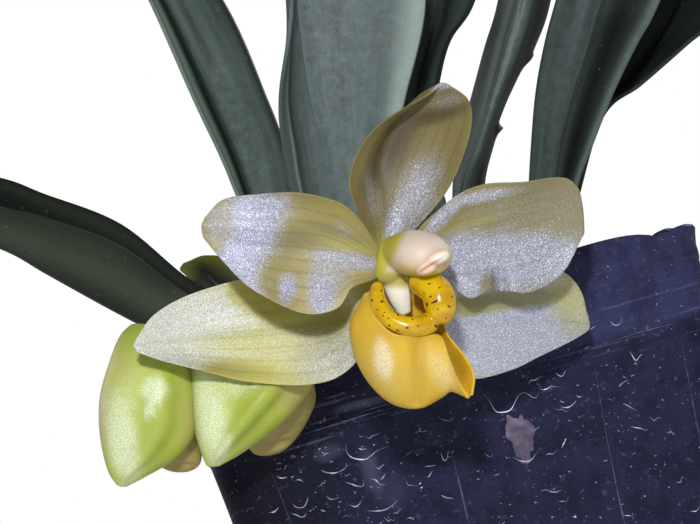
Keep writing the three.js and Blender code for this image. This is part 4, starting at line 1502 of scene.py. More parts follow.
@dataclass
class LimeMarks:
    """What drying drops and handling left on the pot's walls: thin crusts, near white in part as a painted
    highlight, and scuffs; and pale strips along its creases, a painted highlight.
    """

    pot: Pot
    scattered: int = 340
    thread: tuple[float, float] = (0.012, 0.036)
    drawn: tuple[float, float] = (0.045, 0.035)
    crease: float = 0.05
    stain_at: tuple[float, float] = (6.0, 57.4)
    stain_size: tuple[float, float] = (1.75, 3.2)

    def arc(self, rng: random.Random) -> Rail:
        """A small arc that sags in the middle, at a random place on a wall.

        Args:
            rng: Where the numbers come from.

        Returns:
            Points on the wall: along it and up.
        """
        reach = 0.2 + 1.3 * rng.random() ** 3
        s, z = rng.uniform(-27, 27), 64 - 60 * rng.random() ** 1.3
        start, sweep = rng.uniform(190, 250), rng.uniform(50, 130)
        count = 5
        turns = [math.radians(start + sweep * i / (count - 1)) for i in range(count)]
        rough = reach * 0.28
        return [
            (
                s + reach * math.cos(t) + rng.uniform(-rough, rough),
                z + reach * math.sin(t) * 0.8 + rng.uniform(-rough, rough),
            )
            for t in turns
        ]

    def crusts(self) -> bpy.types.Object:
        """Makes all lime crusts: those of one wall, laid on all four, and the front wall's own.

        Returns:
            The crusts as one piece.
        """
        rng = random.Random(SEED)
        arcs = [self.strip(self.arc(rng), rng.uniform(*self.thread), None, 2) for _ in range(self.scattered)]
        model = Workshop.join("wall_marks", arcs)
        pieces = []
        for side in range(4):
            pieces.append(self.lay(Workshop.copy_of(model), side))
        bpy.data.objects.remove(model)
        pieces += [self.lay(self.strip(line, self.drawn[0], None), 0) for line in LIME_LINES]
        pieces += [self.lay(self.strip(line, self.drawn[1], self.band_half()), 0) for line in BAND_LINES]
        return Workshop.join("lime_marks", pieces)

    def lay(self, marks: bpy.types.Object, side: int) -> bpy.types.Object:
        """Turns flat marks to one wall and lets them follow its unevenness.

        Args:
            marks: Marks on an even front wall.
            side: Which wall, counted from the front one.

        Returns:
            The same piece.
        """
        points = Workshop.read(marks) / MM @ np.array(Matrix.Rotation(side * QUARTER, 3, "Z")).T
        Workshop.write(marks, (points + self.pot.dents(points)) * MM)
        return marks

    def scuffs_and_lit_creases(self) -> bpy.types.Object:
        """Makes the dull scuffs and the pale strips along the creases, a painted highlight.

        Returns:
            Both as one piece.
        """
        pieces = [self.lay(self.strip(line, size, self.band_half()), 0) for line, size in SCUFFS]
        for side in range(4):
            pieces += [self.lay(self.strip(line, self.crease, None, 12), side) for line in CREASES]
        return Workshop.join("scuffs_and_lit_creases", pieces)

    def band_half(self) -> float:
        """How far the rim band's outside stands from the pot's middle."""
        return float(self.pot.half_at(LEDGE)) + self.pot.ledge_width + 0.1

    def strip(self, line: Rail, size: float, out: float | None, steps: int = 3) -> bpy.types.Object:
        """One mark on an even front wall.

        Args:
            line: Points on the wall: along it and up.
            size: Half of the mark's width in millimetres.
            out: How far out it lies, or None on the wall below the rim band.
            steps: Rings for each point.

        Returns:
            The mark as a closed body, half sunk in the wall.
        """
        places = Curve([(*p, 0.0) for p in line]).spaced(np.linspace(0, 1, steps * len(line)))
        far = self.pot.wall_at(places[:, 0], places[:, 1]) if out is None else np.full(len(places), out)
        points = np.stack([places[:, 0], -far, places[:, 1]], 1)
        sizes = [share * size for share in (0.3, 0.8, 2.2, 1.2, 0.7, 0.3)]
        limb = Limb([tuple(p) for p in points], sizes, (0.0, 0.0, 1.0), 5, len(points), 0.1)
        return limb.build("mark")

    def stain(self) -> bpy.types.Object:
        """Makes the pale dried stain in the front wall.

        Returns:
            The stain as a closed, flat body.
        """
        s0, z0 = self.stain_at
        wide, high = self.stain_size

        def place(angle: Array, share: Array) -> Array:
            """Places on the lobed stain, half sunk in the wall.

            Args:
                angle: Angles round the body.
                share: Shares of the way from its bottom to its top.

            Returns:
                Points in millimetres.
            """
            lobed = 1 + 0.16 * np.sin(angle * 3 + 0.6) + 0.09 * np.sin(angle * 7) + 0.06 * np.sin(angle * 13)
            reach = np.sin(share * math.pi) * lobed
            s, z = s0 + wide * reach * np.cos(angle), z0 + high * reach * np.sin(angle)
            y = -self.pot.wall_at(s, z) + 0.07 * np.cos(share * math.pi)
            points = np.stack([s, y, z], 1)
            return points + self.pot.dents(points)

        return Workshop.ball("stain", 48, 12, place)


@dataclass
class BarkBed:
    """Bark chips that fill the pot, with roots and stems coming out between them."""

    rows: int = 3
    half: float = 32.0
    size: tuple[float, float, float] = (6.4, 5.0, 2.6)
    spread: tuple[float, float, float] = (3.0, 2.4, 1.0)
    tilt: float = 0.3
    crumbs: int = 150
    kinds: int = 4

    @staticmethod
    def draws(seed: int) -> Callable[[], float]:
        """The same run of random numbers as the solids are laid out with.

        Args:
            seed: Where the run starts.

        Returns:
            Gives the next number, from 0 to 1.
        """
        state = seed

        def draw() -> float:
            """Draws the next number.

            Returns:
                A number from 0 to 1.
            """
            nonlocal state
            state = (state * 1664525 + 1013904223) % 4294967296
            return state / 4294967296

        return draw

    def places(self) -> list[tuple[Point, Matrix]]:
        """Where the large chips lie.

        Returns:
            The size and the turn and place of each chip, in millimetres.
        """
        draw = self.draws(SEED)
        reach = self.half - 4.6
        found = []

        def swing() -> float:
            """Draws a number from -1 to 1."""
            return draw() * 2 - 1

        def spread(step: int) -> float:
            """Draws a place near a step of the chips' rows."""
            return max(-reach, min(reach, step / self.rows * reach + swing() * 1.6))

        for row in range(-self.rows, self.rows + 1):
            for column in range(-self.rows, self.rows + 1):
                size = tuple(s + draw() * more for s, more in zip(self.size, self.spread))
                turn = Matrix.Rotation(swing() * self.tilt, 4, "X")
                turn = Matrix.Rotation(swing() * self.tilt, 4, "Y") @ turn
                turn = Matrix.Rotation(draw() * math.pi, 4, "Z") @ turn
                x, y = spread(column), spread(row)
                found.append((size, Matrix.Translation((x, y, BARK_TOP - 1 + draw() * 1.2)) @ turn))
        return found

    def crumb_places(self) -> list[tuple[Point, Matrix]]:
        """Where the small chips between the large ones lie.

        Returns:
            The size and the turn and place of each crumb, in millimetres.
        """
        rng = random.Random(SEED)
        found = []
        reach = self.half - 2.6
        for _ in range(self.crumbs):
            size = (rng.uniform(2.0, 4.6), rng.uniform(1.6, 3.4), rng.uniform(1.0, 2.0))
            turn = Matrix.Rotation(rng.uniform(-0.5, 0.5), 4, "X")
            turn = Matrix.Rotation(rng.uniform(0, math.pi), 4, "Z") @ turn
            x, y = rng.uniform(-reach, reach), rng.uniform(-reach, reach)
            at = Matrix.Translation((x, y, BARK_TOP - 0.4 + rng.uniform(0, 1.5)))
            found.append((size, at @ turn))
        return found

    def chip(self, seed: int, levels: int) -> bpy.types.Object:
        """One chip of unit size: a cube whose edges are bevelled and whose faces are split and torn.

        Args:
            seed: Which chip it is.
            levels: How often its faces are split.

        Returns:
            The chip round the origin.
        """
        Workshop.clear()
        bpy.ops.mesh.primitive_cube_add(size=1)
        piece = bpy.context.object
        Workshop.modify(piece, "BEVEL", width=0.14, segments=2)
        Workshop.modify(piece, "SUBSURF", subdivision_type="SIMPLE", levels=levels, render_levels=levels)
        points = Workshop.read(piece)
        torn = ripple_noise(points * (1.2, 3.0, 2.0), 0.6, seed * 7.3) * 0.13
        torn += ripple_noise(points * (1, 4, 3), 0.22, seed * 3.1) * 0.05
        Workshop.write(piece, points * (1 + torn)[:, None])
        return piece

    def build(self) -> bpy.types.Object:
        """Makes the bed with all its chips.

        Returns:
            The bed as one piece.
        """
        large, small = self.places(), self.crumb_places()
        models = [[self.chip(seed, levels) for seed in range(self.kinds)] for levels in (2, 1)]
        pieces = []
        for i, (size, at) in enumerate(large + small):
            chip = Workshop.copy_of(models[i >= len(large)][i % self.kinds])
            chip.data.transform(Matrix.Scale(MM, 4) @ at @ Matrix.Diagonal((*size, 1)))
            pieces.append(chip)
        for model in models[0] + models[1]:
            bpy.data.objects.remove(model)
        pieces.append(self.bed())
        return Workshop.join("bark_chips", pieces)

    def bed(self) -> bpy.types.Object:
        """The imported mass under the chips.

        Returns:
            A closed body that fills the pot.
        """
        pot = Pot()
        low, high = 2.0, BARK_TOP - 1.4
        rings = []
        for z, height in ((low, low), (LEDGE - 1, LEDGE - 1), (LEDGE, high)):
            half = float(pot.half_at(z)) - pot.panel_depth - 0.3
            rings.append(pot.ring(height, half, 0, 0, POT_WALL))
        return Workshop.stack("bed", np.array(rings), (0.0, 0.0, low), (0.0, 0.0, high))


@dataclass
class Fan:
    """The short stem of a leaf fan and the roots that leave it."""

    name: str
    at: tuple[float, float]
    roots: list[tuple[float, float]]

    def build(self) -> bpy.types.Object:
        """Makes the crown with its roots and paints the stem green.

        Returns:
            The piece.
        """
        x, y = self.at
        heights = (BARK_TOP - 26, BARK_TOP - 8, BARK_TOP + 3, BARK_TOP + 7)
        sizes = [(2.4, 2.0), (3.4, 2.8), (3.6, 2.6), (2.4, 1.8)]
        stem = Limb([(x, y, z) for z in heights], sizes, (0.0, 1.0, 0.0), 32, 40, 0.08)
        pieces = [stem.build("stem")]
        for turn, reach in self.roots:
            c, s = math.cos(math.radians(turn)), math.sin(math.radians(turn))
            stations = ((1, 0), (4, 2), (reach * 0.55, 2.4), (reach * 0.85, 0.6), (reach, -9))
            path = [(x + r * c, y + r * s, BARK_TOP + rise) for r, rise in stations]
            root = Limb(path, [1.3, 1.3, 1.2, 1.1, 0.7], (s, -c, 0.01), 20, 40, 0.06)
            pieces.append(root.build("root"))
        piece = Workshop.fuse(self.name, pieces, 0.4)
        points = Workshop.read(piece) / MM
        far = np.hypot(points[:, 0] - x, points[:, 1] - y)
        zones = zone_table(len(points))
        above = soft_step(points[:, 2], BARK_TOP - 3, BARK_TOP + 3)
        zones[:, Tint.GREEN.value] = soft_step(far, 5.0, 3.2) * above
        Workshop.paint(piece, zones)
        return piece


LEAF_RAILS: dict[str, Rails] = {
    "fan_left_leaf_1": (
        [(-20.6, -5.4, -5), (-28, -7.6, 5), (-34.8, -8, 12.7), (-42.1, -11, 21.9), (-51.8, -12, 29),
         (-57.2, -11, 32.1), (-71, -12, 41), (-87, -13, 46), (-101, -11, 46.4)],
        [(-22.6, -4, -6.5), (-28.8, -5.4, -1), (-34.9, -6, 3.9), (-41.6, -7, 10), (-53.2, -6, 21.3),
         (-59.7, -5, 27.3), (-73, -6.4, 36), (-88, -9, 42), (-101.4, -11, 45.8)],
        [(-20.8, -2.2, -4.6), (-28.4, -1.2, 8), (-34.8, 0, 15.6), (-42, 0, 25.7), (-52, 1, 33.3),
         (-58.1, 2, 37.8), (-72, 0.8, 45), (-88, -4, 48.4), (-101, -10.6, 46.6)],
    ),
    "fan_left_leaf_2": (
        [(-20.8, -1.2, -6), (-22, -2, 10), (-23.3, -3, 24.4), (-23.9, -4, 31), (-25.1, -5, 38.9),
         (-27.9, -5, 56.7), (-32.5, 1, 76), (-38.4, 16, 95)],
        [(-22, 0.8, -6.5), (-21.4, 2, 10), (-21.5, 1, 24.5), (-21.8, 1, 31), (-22.9, 1, 38.9),
         (-26.2, 1, 57.3), (-30.6, 7, 76.6), (-38.2, 16.4, 96)],
        [(-20.6, 2.4, -5), (-17.8, 1.4, 9), (-15.2, -1.6, 23.2), (-14.4, -1.8, 29.5), (-14.9, -2, 37.5),
         (-17.4, -2, 54.2), (-25, 5, 75), (-37.8, 16.6, 95.4)],
    ),
    "fan_left_leaf_3": (
        [(-15, -5.2, -5), (-15.2, -5.4, 9), (-15.4, -6, 22.3), (-14.4, -8, 29.5), (-12.7, -10, 36.4),
         (-7.3, -12, 49.4), (-4, -10, 68), (1, 0, 89), (9.2, 13, 109)],
        [(-13.3, -2.7, -6), (-10.8, -3.2, 8), (-9.5, -3, 20.6), (-8.6, -3, 28.4), (-8.6, -3, 36.2),
         (-6.6, -3, 50.9), (-2.5, 1, 70), (3, 8, 91), (9.5, 13.6, 110)],
        [(-13, -5, -4.6), (-7.4, -6, 6), (-3.1, -6, 17.9), (1.4, -7, 24.9), (5, -7, 31.4), (12, -7, 44.8),
         (15.5, -3, 63), (14.5, 6, 87), (10, 13.2, 109)],
    ),
    "fan_left_leaf_8": (
        [(-20.5, 3.1, -5.4), (-25, 4.8, 0.8), (-31, 5.2, 9.4), (-33.8, 5.9, 14.2), (-35.1, 6.5, 16.3)],
        [(-19.4, 4.3, -5.6), (-25.4, 7.4, 3.2), (-30.4, 7.9, 12), (-33.4, 7.3, 16.2), (-35.4, 6.7, 17.2)],
        [(-17.8, 3.7, -5), (-21.6, 9, 8), (-27.4, 9.4, 16), (-31.2, 8.5, 18.1), (-34.6, 7, 17.8)],
    ),
    "fan_right_leaf_4": (
        [(5.2, 3, -6), (0.6, 6, 12), (2.3, 7, 28.8), (4.4, 8, 36.1), (6.9, 9, 42.6), (8.9, 9, 48.6),
         (14, 11, 66), (25, 17, 83), (36, 26, 97)],
        [(6.4, 4.3, -6.5), (4, 8, 12), (5.8, 9, 28), (8.4, 11, 35.3), (12.3, 12, 41.8), (14.9, 12, 47.4),
         (21, 14.6, 64), (30, 19.5, 81), (36.4, 26.6, 97.5)],
        [(7.8, 4.8, -6), (7.2, 7.6, 12), (8, 8, 27.3), (11.7, 9, 34.1), (15.5, 10, 40.1), (20.7, 9, 45.2),
         (28, 12.6, 60), (34.5, 18.5, 79), (36.8, 26.2, 97)],
    ),
    "fan_right_leaf_5": (
        [(7.4, -0.6, -5), (6.2, -1.4, 6), (8.6, -1, 16.2), (11.4, -1, 22.8), (14.9, -1, 29.1),
         (19, -1, 36.1), (23.2, -1, 42.6), (30, -3, 56), (38, -12, 70)],
        [(9.2, -1.4, -5.4), (8.2, -4, 6), (9.9, -4, 15.7), (13.9, -5, 21.7), (17.8, -6, 27.6),
         (22.3, -6, 34.4), (26.2, -6, 40.9), (33, -8, 54.6), (38.4, -12.4, 70.6)],
        [(11, -0.6, -5), (10.8, -1.4, 6), (12.9, -1, 15.3), (16, -1, 21.5), (20.1, -1, 27.6),
         (26, -1, 34.1), (30.7, -1, 40.5), (37, -3.4, 54), (38.8, -11.8, 70)],
    ),
    "fan_right_leaf_6": (
        [(13.6, -1.8, -6), (17, -2.4, 6), (19.7, -3, 14.4), (21.5, -4, 19.5), (24.4, -5, 27),
         (27.6, -6, 33.4), (31.2, -6, 39.4), (41, -8, 55), (53, -11, 69), (66, -14, 81)],
        [(13.6, 0, -6.6), (19.2, -1.4, 5), (23.4, -2, 13.4), (25.8, -2, 18.4), (29.9, -3, 25.7),
         (34.1, -3, 32), (37.9, -3, 38), (47.5, -6.4, 52), (57.5, -9.6, 66), (66.4, -13.6, 81.6)],
        [(15, -1.4, -5.4), (22, -3, 4), (26.7, -4, 12.3), (30.1, -5, 16.9), (35.4, -6, 23.7),
         (40.5, -7, 29.5), (45.7, -7, 35), (55.5, -10.6, 49), (63, -13, 65), (66.9, -13.8, 81)],
    ),
    "fan_right_leaf_7": (
        [(12.8, 2.4, -5.6), (22, 5.6, 8), (30.7, 7, 21.4), (35.6, 8, 26.7), (41.9, 8, 31.5),
         (46.9, 8, 37.4), (58, 13, 50), (72, 22, 59)],
        [(12.9, 4.2, -6.2), (23.6, 7, 8), (32.8, 8, 21.5), (39.2, 10, 26), (46.2, 11, 30.7), (52, 11, 36.5),
         (61, 16, 47), (72.4, 22.4, 58.6)],
        [(14.6, 3.5, -5.6), (25.4, 5.4, 8), (34.4, 6, 21.6), (41.7, 7, 25.1), (50.2, 7, 29.2),
         (58.4, 6, 33.1), (66, 13, 44), (72.8, 22, 58)],
    ),
}

# DARK stripes are painted shade: the shaded inner face of a folded leaf, grooves, folds and the leaves or
# halves that lie in shadow. GREEN stripes are paler keels and margins, in part a painted highlight along lit
# edges; PEARL is the blue-grey bloom.
LEAF_STRIPES: dict[str, Paint] = {
    "fan_left_leaf_1": {
        Tint.GREEN: [(-0.55, -0.55, 0.32, 0.0, 1.0, 0.62), (0.9, 0.9, 0.08, 0.0, 1.0, 0.25)],
        Tint.DARK: [(0.3, 0.26, 0.24, 0.0, 1.0, 1.0), (0.64, 0.6, 0.26, 0.0, 1.0, 1.0),
            (1.03, 1.03, 0.09, 0.0, 1.0, 0.8)],
    },
    "fan_left_leaf_2": {
        Tint.GREEN: [(-0.78, -0.73, 0.25, 0.0, 0.62, 0.95)],
        Tint.DARK: [(-0.3, -0.42, 0.2, 0.1, 1.0, 0.95), (1.02, 1.02, 0.1, 0.0, 1.0, 0.8)],
        Tint.PEARL: [(0.3, 0.35, 0.4, 0.1, 0.5, 0.8)],
    },
    "fan_left_leaf_3": {
        Tint.PEARL: [(0.3, 0.2, 0.75, 0.0, 1.0, 0.75)],
        Tint.DARK: [(-0.62, -0.86, 0.06, 0.0, 1.0, 0.75)],
        Tint.GREEN: [(-0.7, -0.94, 0.035, 0.2, 0.9, 0.5), (0.97, 0.93, 0.11, 0.0, 1.0, 0.8)],
    },
    "fan_left_leaf_8": {
        Tint.GOLD: [(1.0, 0.9, 0.35, 0.6, 1.2, 0.7), (-0.2, -0.2, 2.0, 0.93, 1.2, 0.8)],
        Tint.DARK: [(-0.2, 0.1, 0.4, 0.0, 0.9, 0.7)],
    },
    "fan_right_leaf_4": {
        Tint.DARK: [(0.35, 0.3, 0.3, 0.0, 1.0, 0.8), (1.0, 1.0, 0.12, 0.0, 1.0, 0.7)],
        Tint.PEARL: [(-0.1, -0.1, 0.2, 0.3, 0.9, 0.35)],
    },
    "fan_right_leaf_5": {
        Tint.DARK: [(0.0, 0.0, 1.2, 0.0, 0.3, 0.6), (-0.8, -0.8, 0.4, 0.0, 1.0, 0.6),
            (0.65, 0.6, 0.35, 0.0, 1.0, 0.9)],
        Tint.PEARL: [(0.0, 0.05, 0.11, 0.0, 1.0, 0.9)],
        Tint.GREEN: [(1.02, 1.02, 0.07, 0.36, 0.49, 1.0)],
    },
    "fan_right_leaf_6": {
        Tint.PEARL: [(-0.4, -0.5, 0.55, 0.0, 1.0, 0.6)],
        Tint.GREEN: [(0.0, -0.05, 0.05, 0.1, 0.9, 0.45), (0.97, 0.95, 0.1, 0.0, 1.0, 0.6)],
        Tint.DARK: [(0.5, 0.45, 0.38, 0.08, 1.0, 1.0)],
    },
    "fan_right_leaf_7": {
        Tint.DARK: [(0.0, 0.0, 0.9, 0.0, 1.0, 0.85)],
        Tint.GREEN: [(1.0, 1.0, 0.08, 0.0, 1.0, 0.3)],
    },
}


LEAF_SKIN = LeafFinish("leaf_skin")
LEAF_SKINS: dict[str, LeafFinish] = {
    "fan_left_leaf_1": LeafFinish("shaded_leaf_skin", "#171d17", "#29312b", "#47543f"),
    "fan_left_leaf_3": LeafFinish("broad_leaf_skin", "#3e4d47", "#7e8c8e", "#a9bab4"),
    "fan_left_leaf_8": LeafFinish("old_leaf_skin", "#1d2418", "#333c2a", gold="#6b6a1c"),
    "fan_right_leaf_7": LeafFinish("dark_leaf_skin", "#1c241e", "#39433e", "#55655a"),
    "fan_right_leaf_4": LeafFinish("hidden_leaf_skin", "#38433b", "#56635c", "#55655a"),
    "fan_right_leaf_6": LeafFinish("blue_leaf_skin", "#2b3733", "#5c6b6b", "#7f9289"),
}


class LeafFans:
    """All leaves of the two fans."""

    THICKNESS = 0.9
    COLUMNS = 52
    ROWS = 110
    NOTCHES = (0.357, 0.492)

    @staticmethod
    def waves(name: str) -> Relief | None:
        """The waved margin that only one leaf has.

        Args:
            name: Name of the leaf's node.

        Returns:
            The waves' height, or None on a plain leaf.
        """
        if name != "fan_right_leaf_4":
            return None
        return lambda u, v: 0.7 * u * u * np.sin(v * 17 + u) * np.sin(math.pi * v)

    @staticmethod
    def relief(name: str) -> Relief:
        """Midrib groove and soft waves along a leaf.

        Args:
            name: Name of the leaf's node.

        Returns:
            Height towards the viewer, in millimetres.
        """
        shift = sum(map(ord, name)) % 7

        def height(u: Array, v: Array) -> Array:
            """Groove and waves, flat at both ends.

            Args:
                u: Places across the leaf, -1 to 1.
                v: Places along it, 0 to 1.

            Returns:
                Heights in millimetres.
            """
            groove = -0.35 * bell(u, 0.0, 0.07)
            wave = 0.22 * np.sin(v * 11 + shift + u * 2.0) * np.sin(math.pi * v)
            return (groove + wave) * soft_step(v, 0.02, 0.2) * soft_step(v, 1.0, 0.9)

        return height

    def notch(self, piece: bpy.types.Object) -> None:
        """Bites two small nicks with raised corners into a leaf's right margin.

        Args:
            piece: The leaf.
        """
        across, along = Workshop.uv_of(piece)
        u = across * 2 - 1
        points = Workshop.read(piece) / MM
        edge = soft_step(u, 0.72, 1.0)
        between = soft_step(along, self.NOTCHES[0], self.NOTCHES[0] + 0.008)
        between = between * soft_step(along, self.NOTCHES[1] + 0.008, self.NOTCHES[1])
        points[:, 0] -= edge * between * 0.5
        for at in self.NOTCHES:
            points[:, 0] += edge * bell(along, at, 0.009) * 0.8
            points[:, 1] -= edge * bell(along, at, 0.009) * 0.8
        Workshop.write(piece, points * MM)

    def build(self) -> None:
        """Makes, paints and hands over every leaf."""
        for name, rails in LEAF_RAILS.items():
            lifted = tuple([(x, y, z + POT_HEIGHT) for x, y, z in rail] for rail in rails)
            blade = Blade(
                name="leaf_" + name[-1],
                rails=lifted,
                fold=1.35,
                thickness=self.THICKNESS,
                margin=0.6,
                columns=self.COLUMNS,
                rows=self.ROWS,
                toward=(0.0, -1.0, 0.0),
                ripple=self.waves(name),
                relief=self.relief(name),
            )
            piece = blade.build(smooth=False)
            across, along = Workshop.uv_of(piece)
            if name == "fan_right_leaf_5":
                self.notch(piece)
            zones = zone_table(len(across))
            for tint, rows in LEAF_STRIPES[name].items():
                for row in rows:
                    share = Stripe(*row).cover(across * 2 - 1, along)
                    zones[:, tint.value] = np.maximum(zones[:, tint.value], share)
            Workshop.paint(piece, zones)
            slot = "leaf_old" if name.endswith("8") else "leaf"
            Workshop.hand_over(piece, [LEAF_SKINS.get(name, LEAF_SKIN)], slot, [name])


TEPAL_RAILS: dict[str, Rails] = {
    "dorsal_sepal": (
        [(-2.8, 0.9, -3.8), (-4.5, 4.8, -2.6), (-6.2, 9.1, -2), (-5.3, 13, -1.4), (-2.7, 16.4, -0.4),
         (1.4, 19.3, 0.8), (5, 21.3, 1.4)],
        [(-1, 1.2, -4.6), (-0.6, 5.5, -4.8), (0.3, 10, -4.8), (1.4, 13.8, -4.4), (3.2, 17.2, -3.2),
         (4.8, 19.7, -0.9), (5.5, 21.5, 1.4)],
        [(0.2, 1.6, -4.2), (2.8, 4.2, -3.6), (6.2, 8.6, -3), (8.3, 12.8, -2.4), (9.3, 16.8, -1.4),
         (8.7, 19.6, 0), (6.2, 21.3, 1.3)],
    ),
    "petal_left": (
        [(-2, 0.9, -3), (-4.2, 4.2, -1.6), (-7.2, 7, -0.6), (-11.6, 8.1, 0), (-16.8, 8, 0.4),
         (-21.5, 7.3, 0.5), (-23.9, 5, 0.2)],
        [(-2, -0.8, -3.3), (-7, 0.4, -1.8), (-11.5, 1, -0.6), (-15.9, 1.4, 0.4), (-19.9, 2.2, 0.6),
         (-22.7, 3, 0.3), (-24.2, 3.7, -0.1)],
        [(-2.2, -2.3, -3), (-5.6, -4, -0.6), (-7.6, -6.4, 1.4), (-12.4, -6.4, 2.6), (-17.2, -4.35, 2.4),
         (-21.25, -0.6, 1.2), (-24.0, 2.5, 0)],
    ),
    "petal_right": (
        [(0.3, 0.9, -3.4), (4.2, 4.7, -2.8), (8.4, 7.7, -2.2), (13.4, 9.1, -2.8), (18.2, 10.1, -4),
         (21.4, 10.1, -5), (23, 8.8, -5.8)],
        [(0.4, -0.6, -3.6), (5.5, 1.4, -4.4), (10.5, 2.4, -5.2), (15, 3.4, -6), (19, 4.6, -6.6),
         (21.8, 5.6, -6.6), (23.6, 6.5, -6.5)],
        [(0.2, -2, -3.4), (6.4, -3.4, -3.8), (9.2, -5.1, -3.9), (12.3, -3.7, -4.9), (16.2, -4.4, -5.2),
         (20.8, -2, -6), (23.8, 3.2, -6.6)],
    ),
    "lateral_sepal_left": (
        [(-1.4, -2.6, -5.4), (-8, -1.6, -7.2), (-15.1, -1.8, -8.2), (-21.2, -2.9, -7.6), (-26.7, -4.7, -6),
         (-30.6, -7.2, -3.8), (-32.5, -10.2, -2)],
        [(-1, -4.6, -4.8), (-9, -7.6, -7.4), (-15.1, -8.6, -8.2), (-21.1, -9.2, -7.6), (-26.6, -9.9, -6),
         (-30.5, -10.5, -3.6), (-32.8, -10.9, -1.8)],
        [(-0.6, -6.8, -4), (-6, -14, -5.4), (-11, -16, -5.4), (-18, -15.5, -4.8), (-24, -14.1, -4),
         (-29.6, -12.7, -2.6), (-32.4, -11.5, -1.6)],
    ),
    "lateral_sepal_right": (
        [(0.2, -2.6, -5.4), (7, -1.8, -7.6), (13, -1.2, -9.8), (18.5, -1.2, -12), (22, -1.8, -14),
         (24.3, -4.2, -15.4), (25.3, -7.8, -16)],
        [(0.6, -4.6, -5), (7, -6.6, -8.4), (13, -7.2, -11.2), (18, -7.5, -13.6), (21.8, -8, -15.2),
         (24.2, -8.4, -16), (25.6, -8.7, -16.3)],
        [(0.9, -6.8, -4.4), (4, -12.5, -6.4), (9, -15.3, -8.6), (14.5, -14.5, -11.2), (19, -12.6, -13.6),
         (23, -10.8, -15.3), (25.3, -9.5, -16.2)],
    ),
}

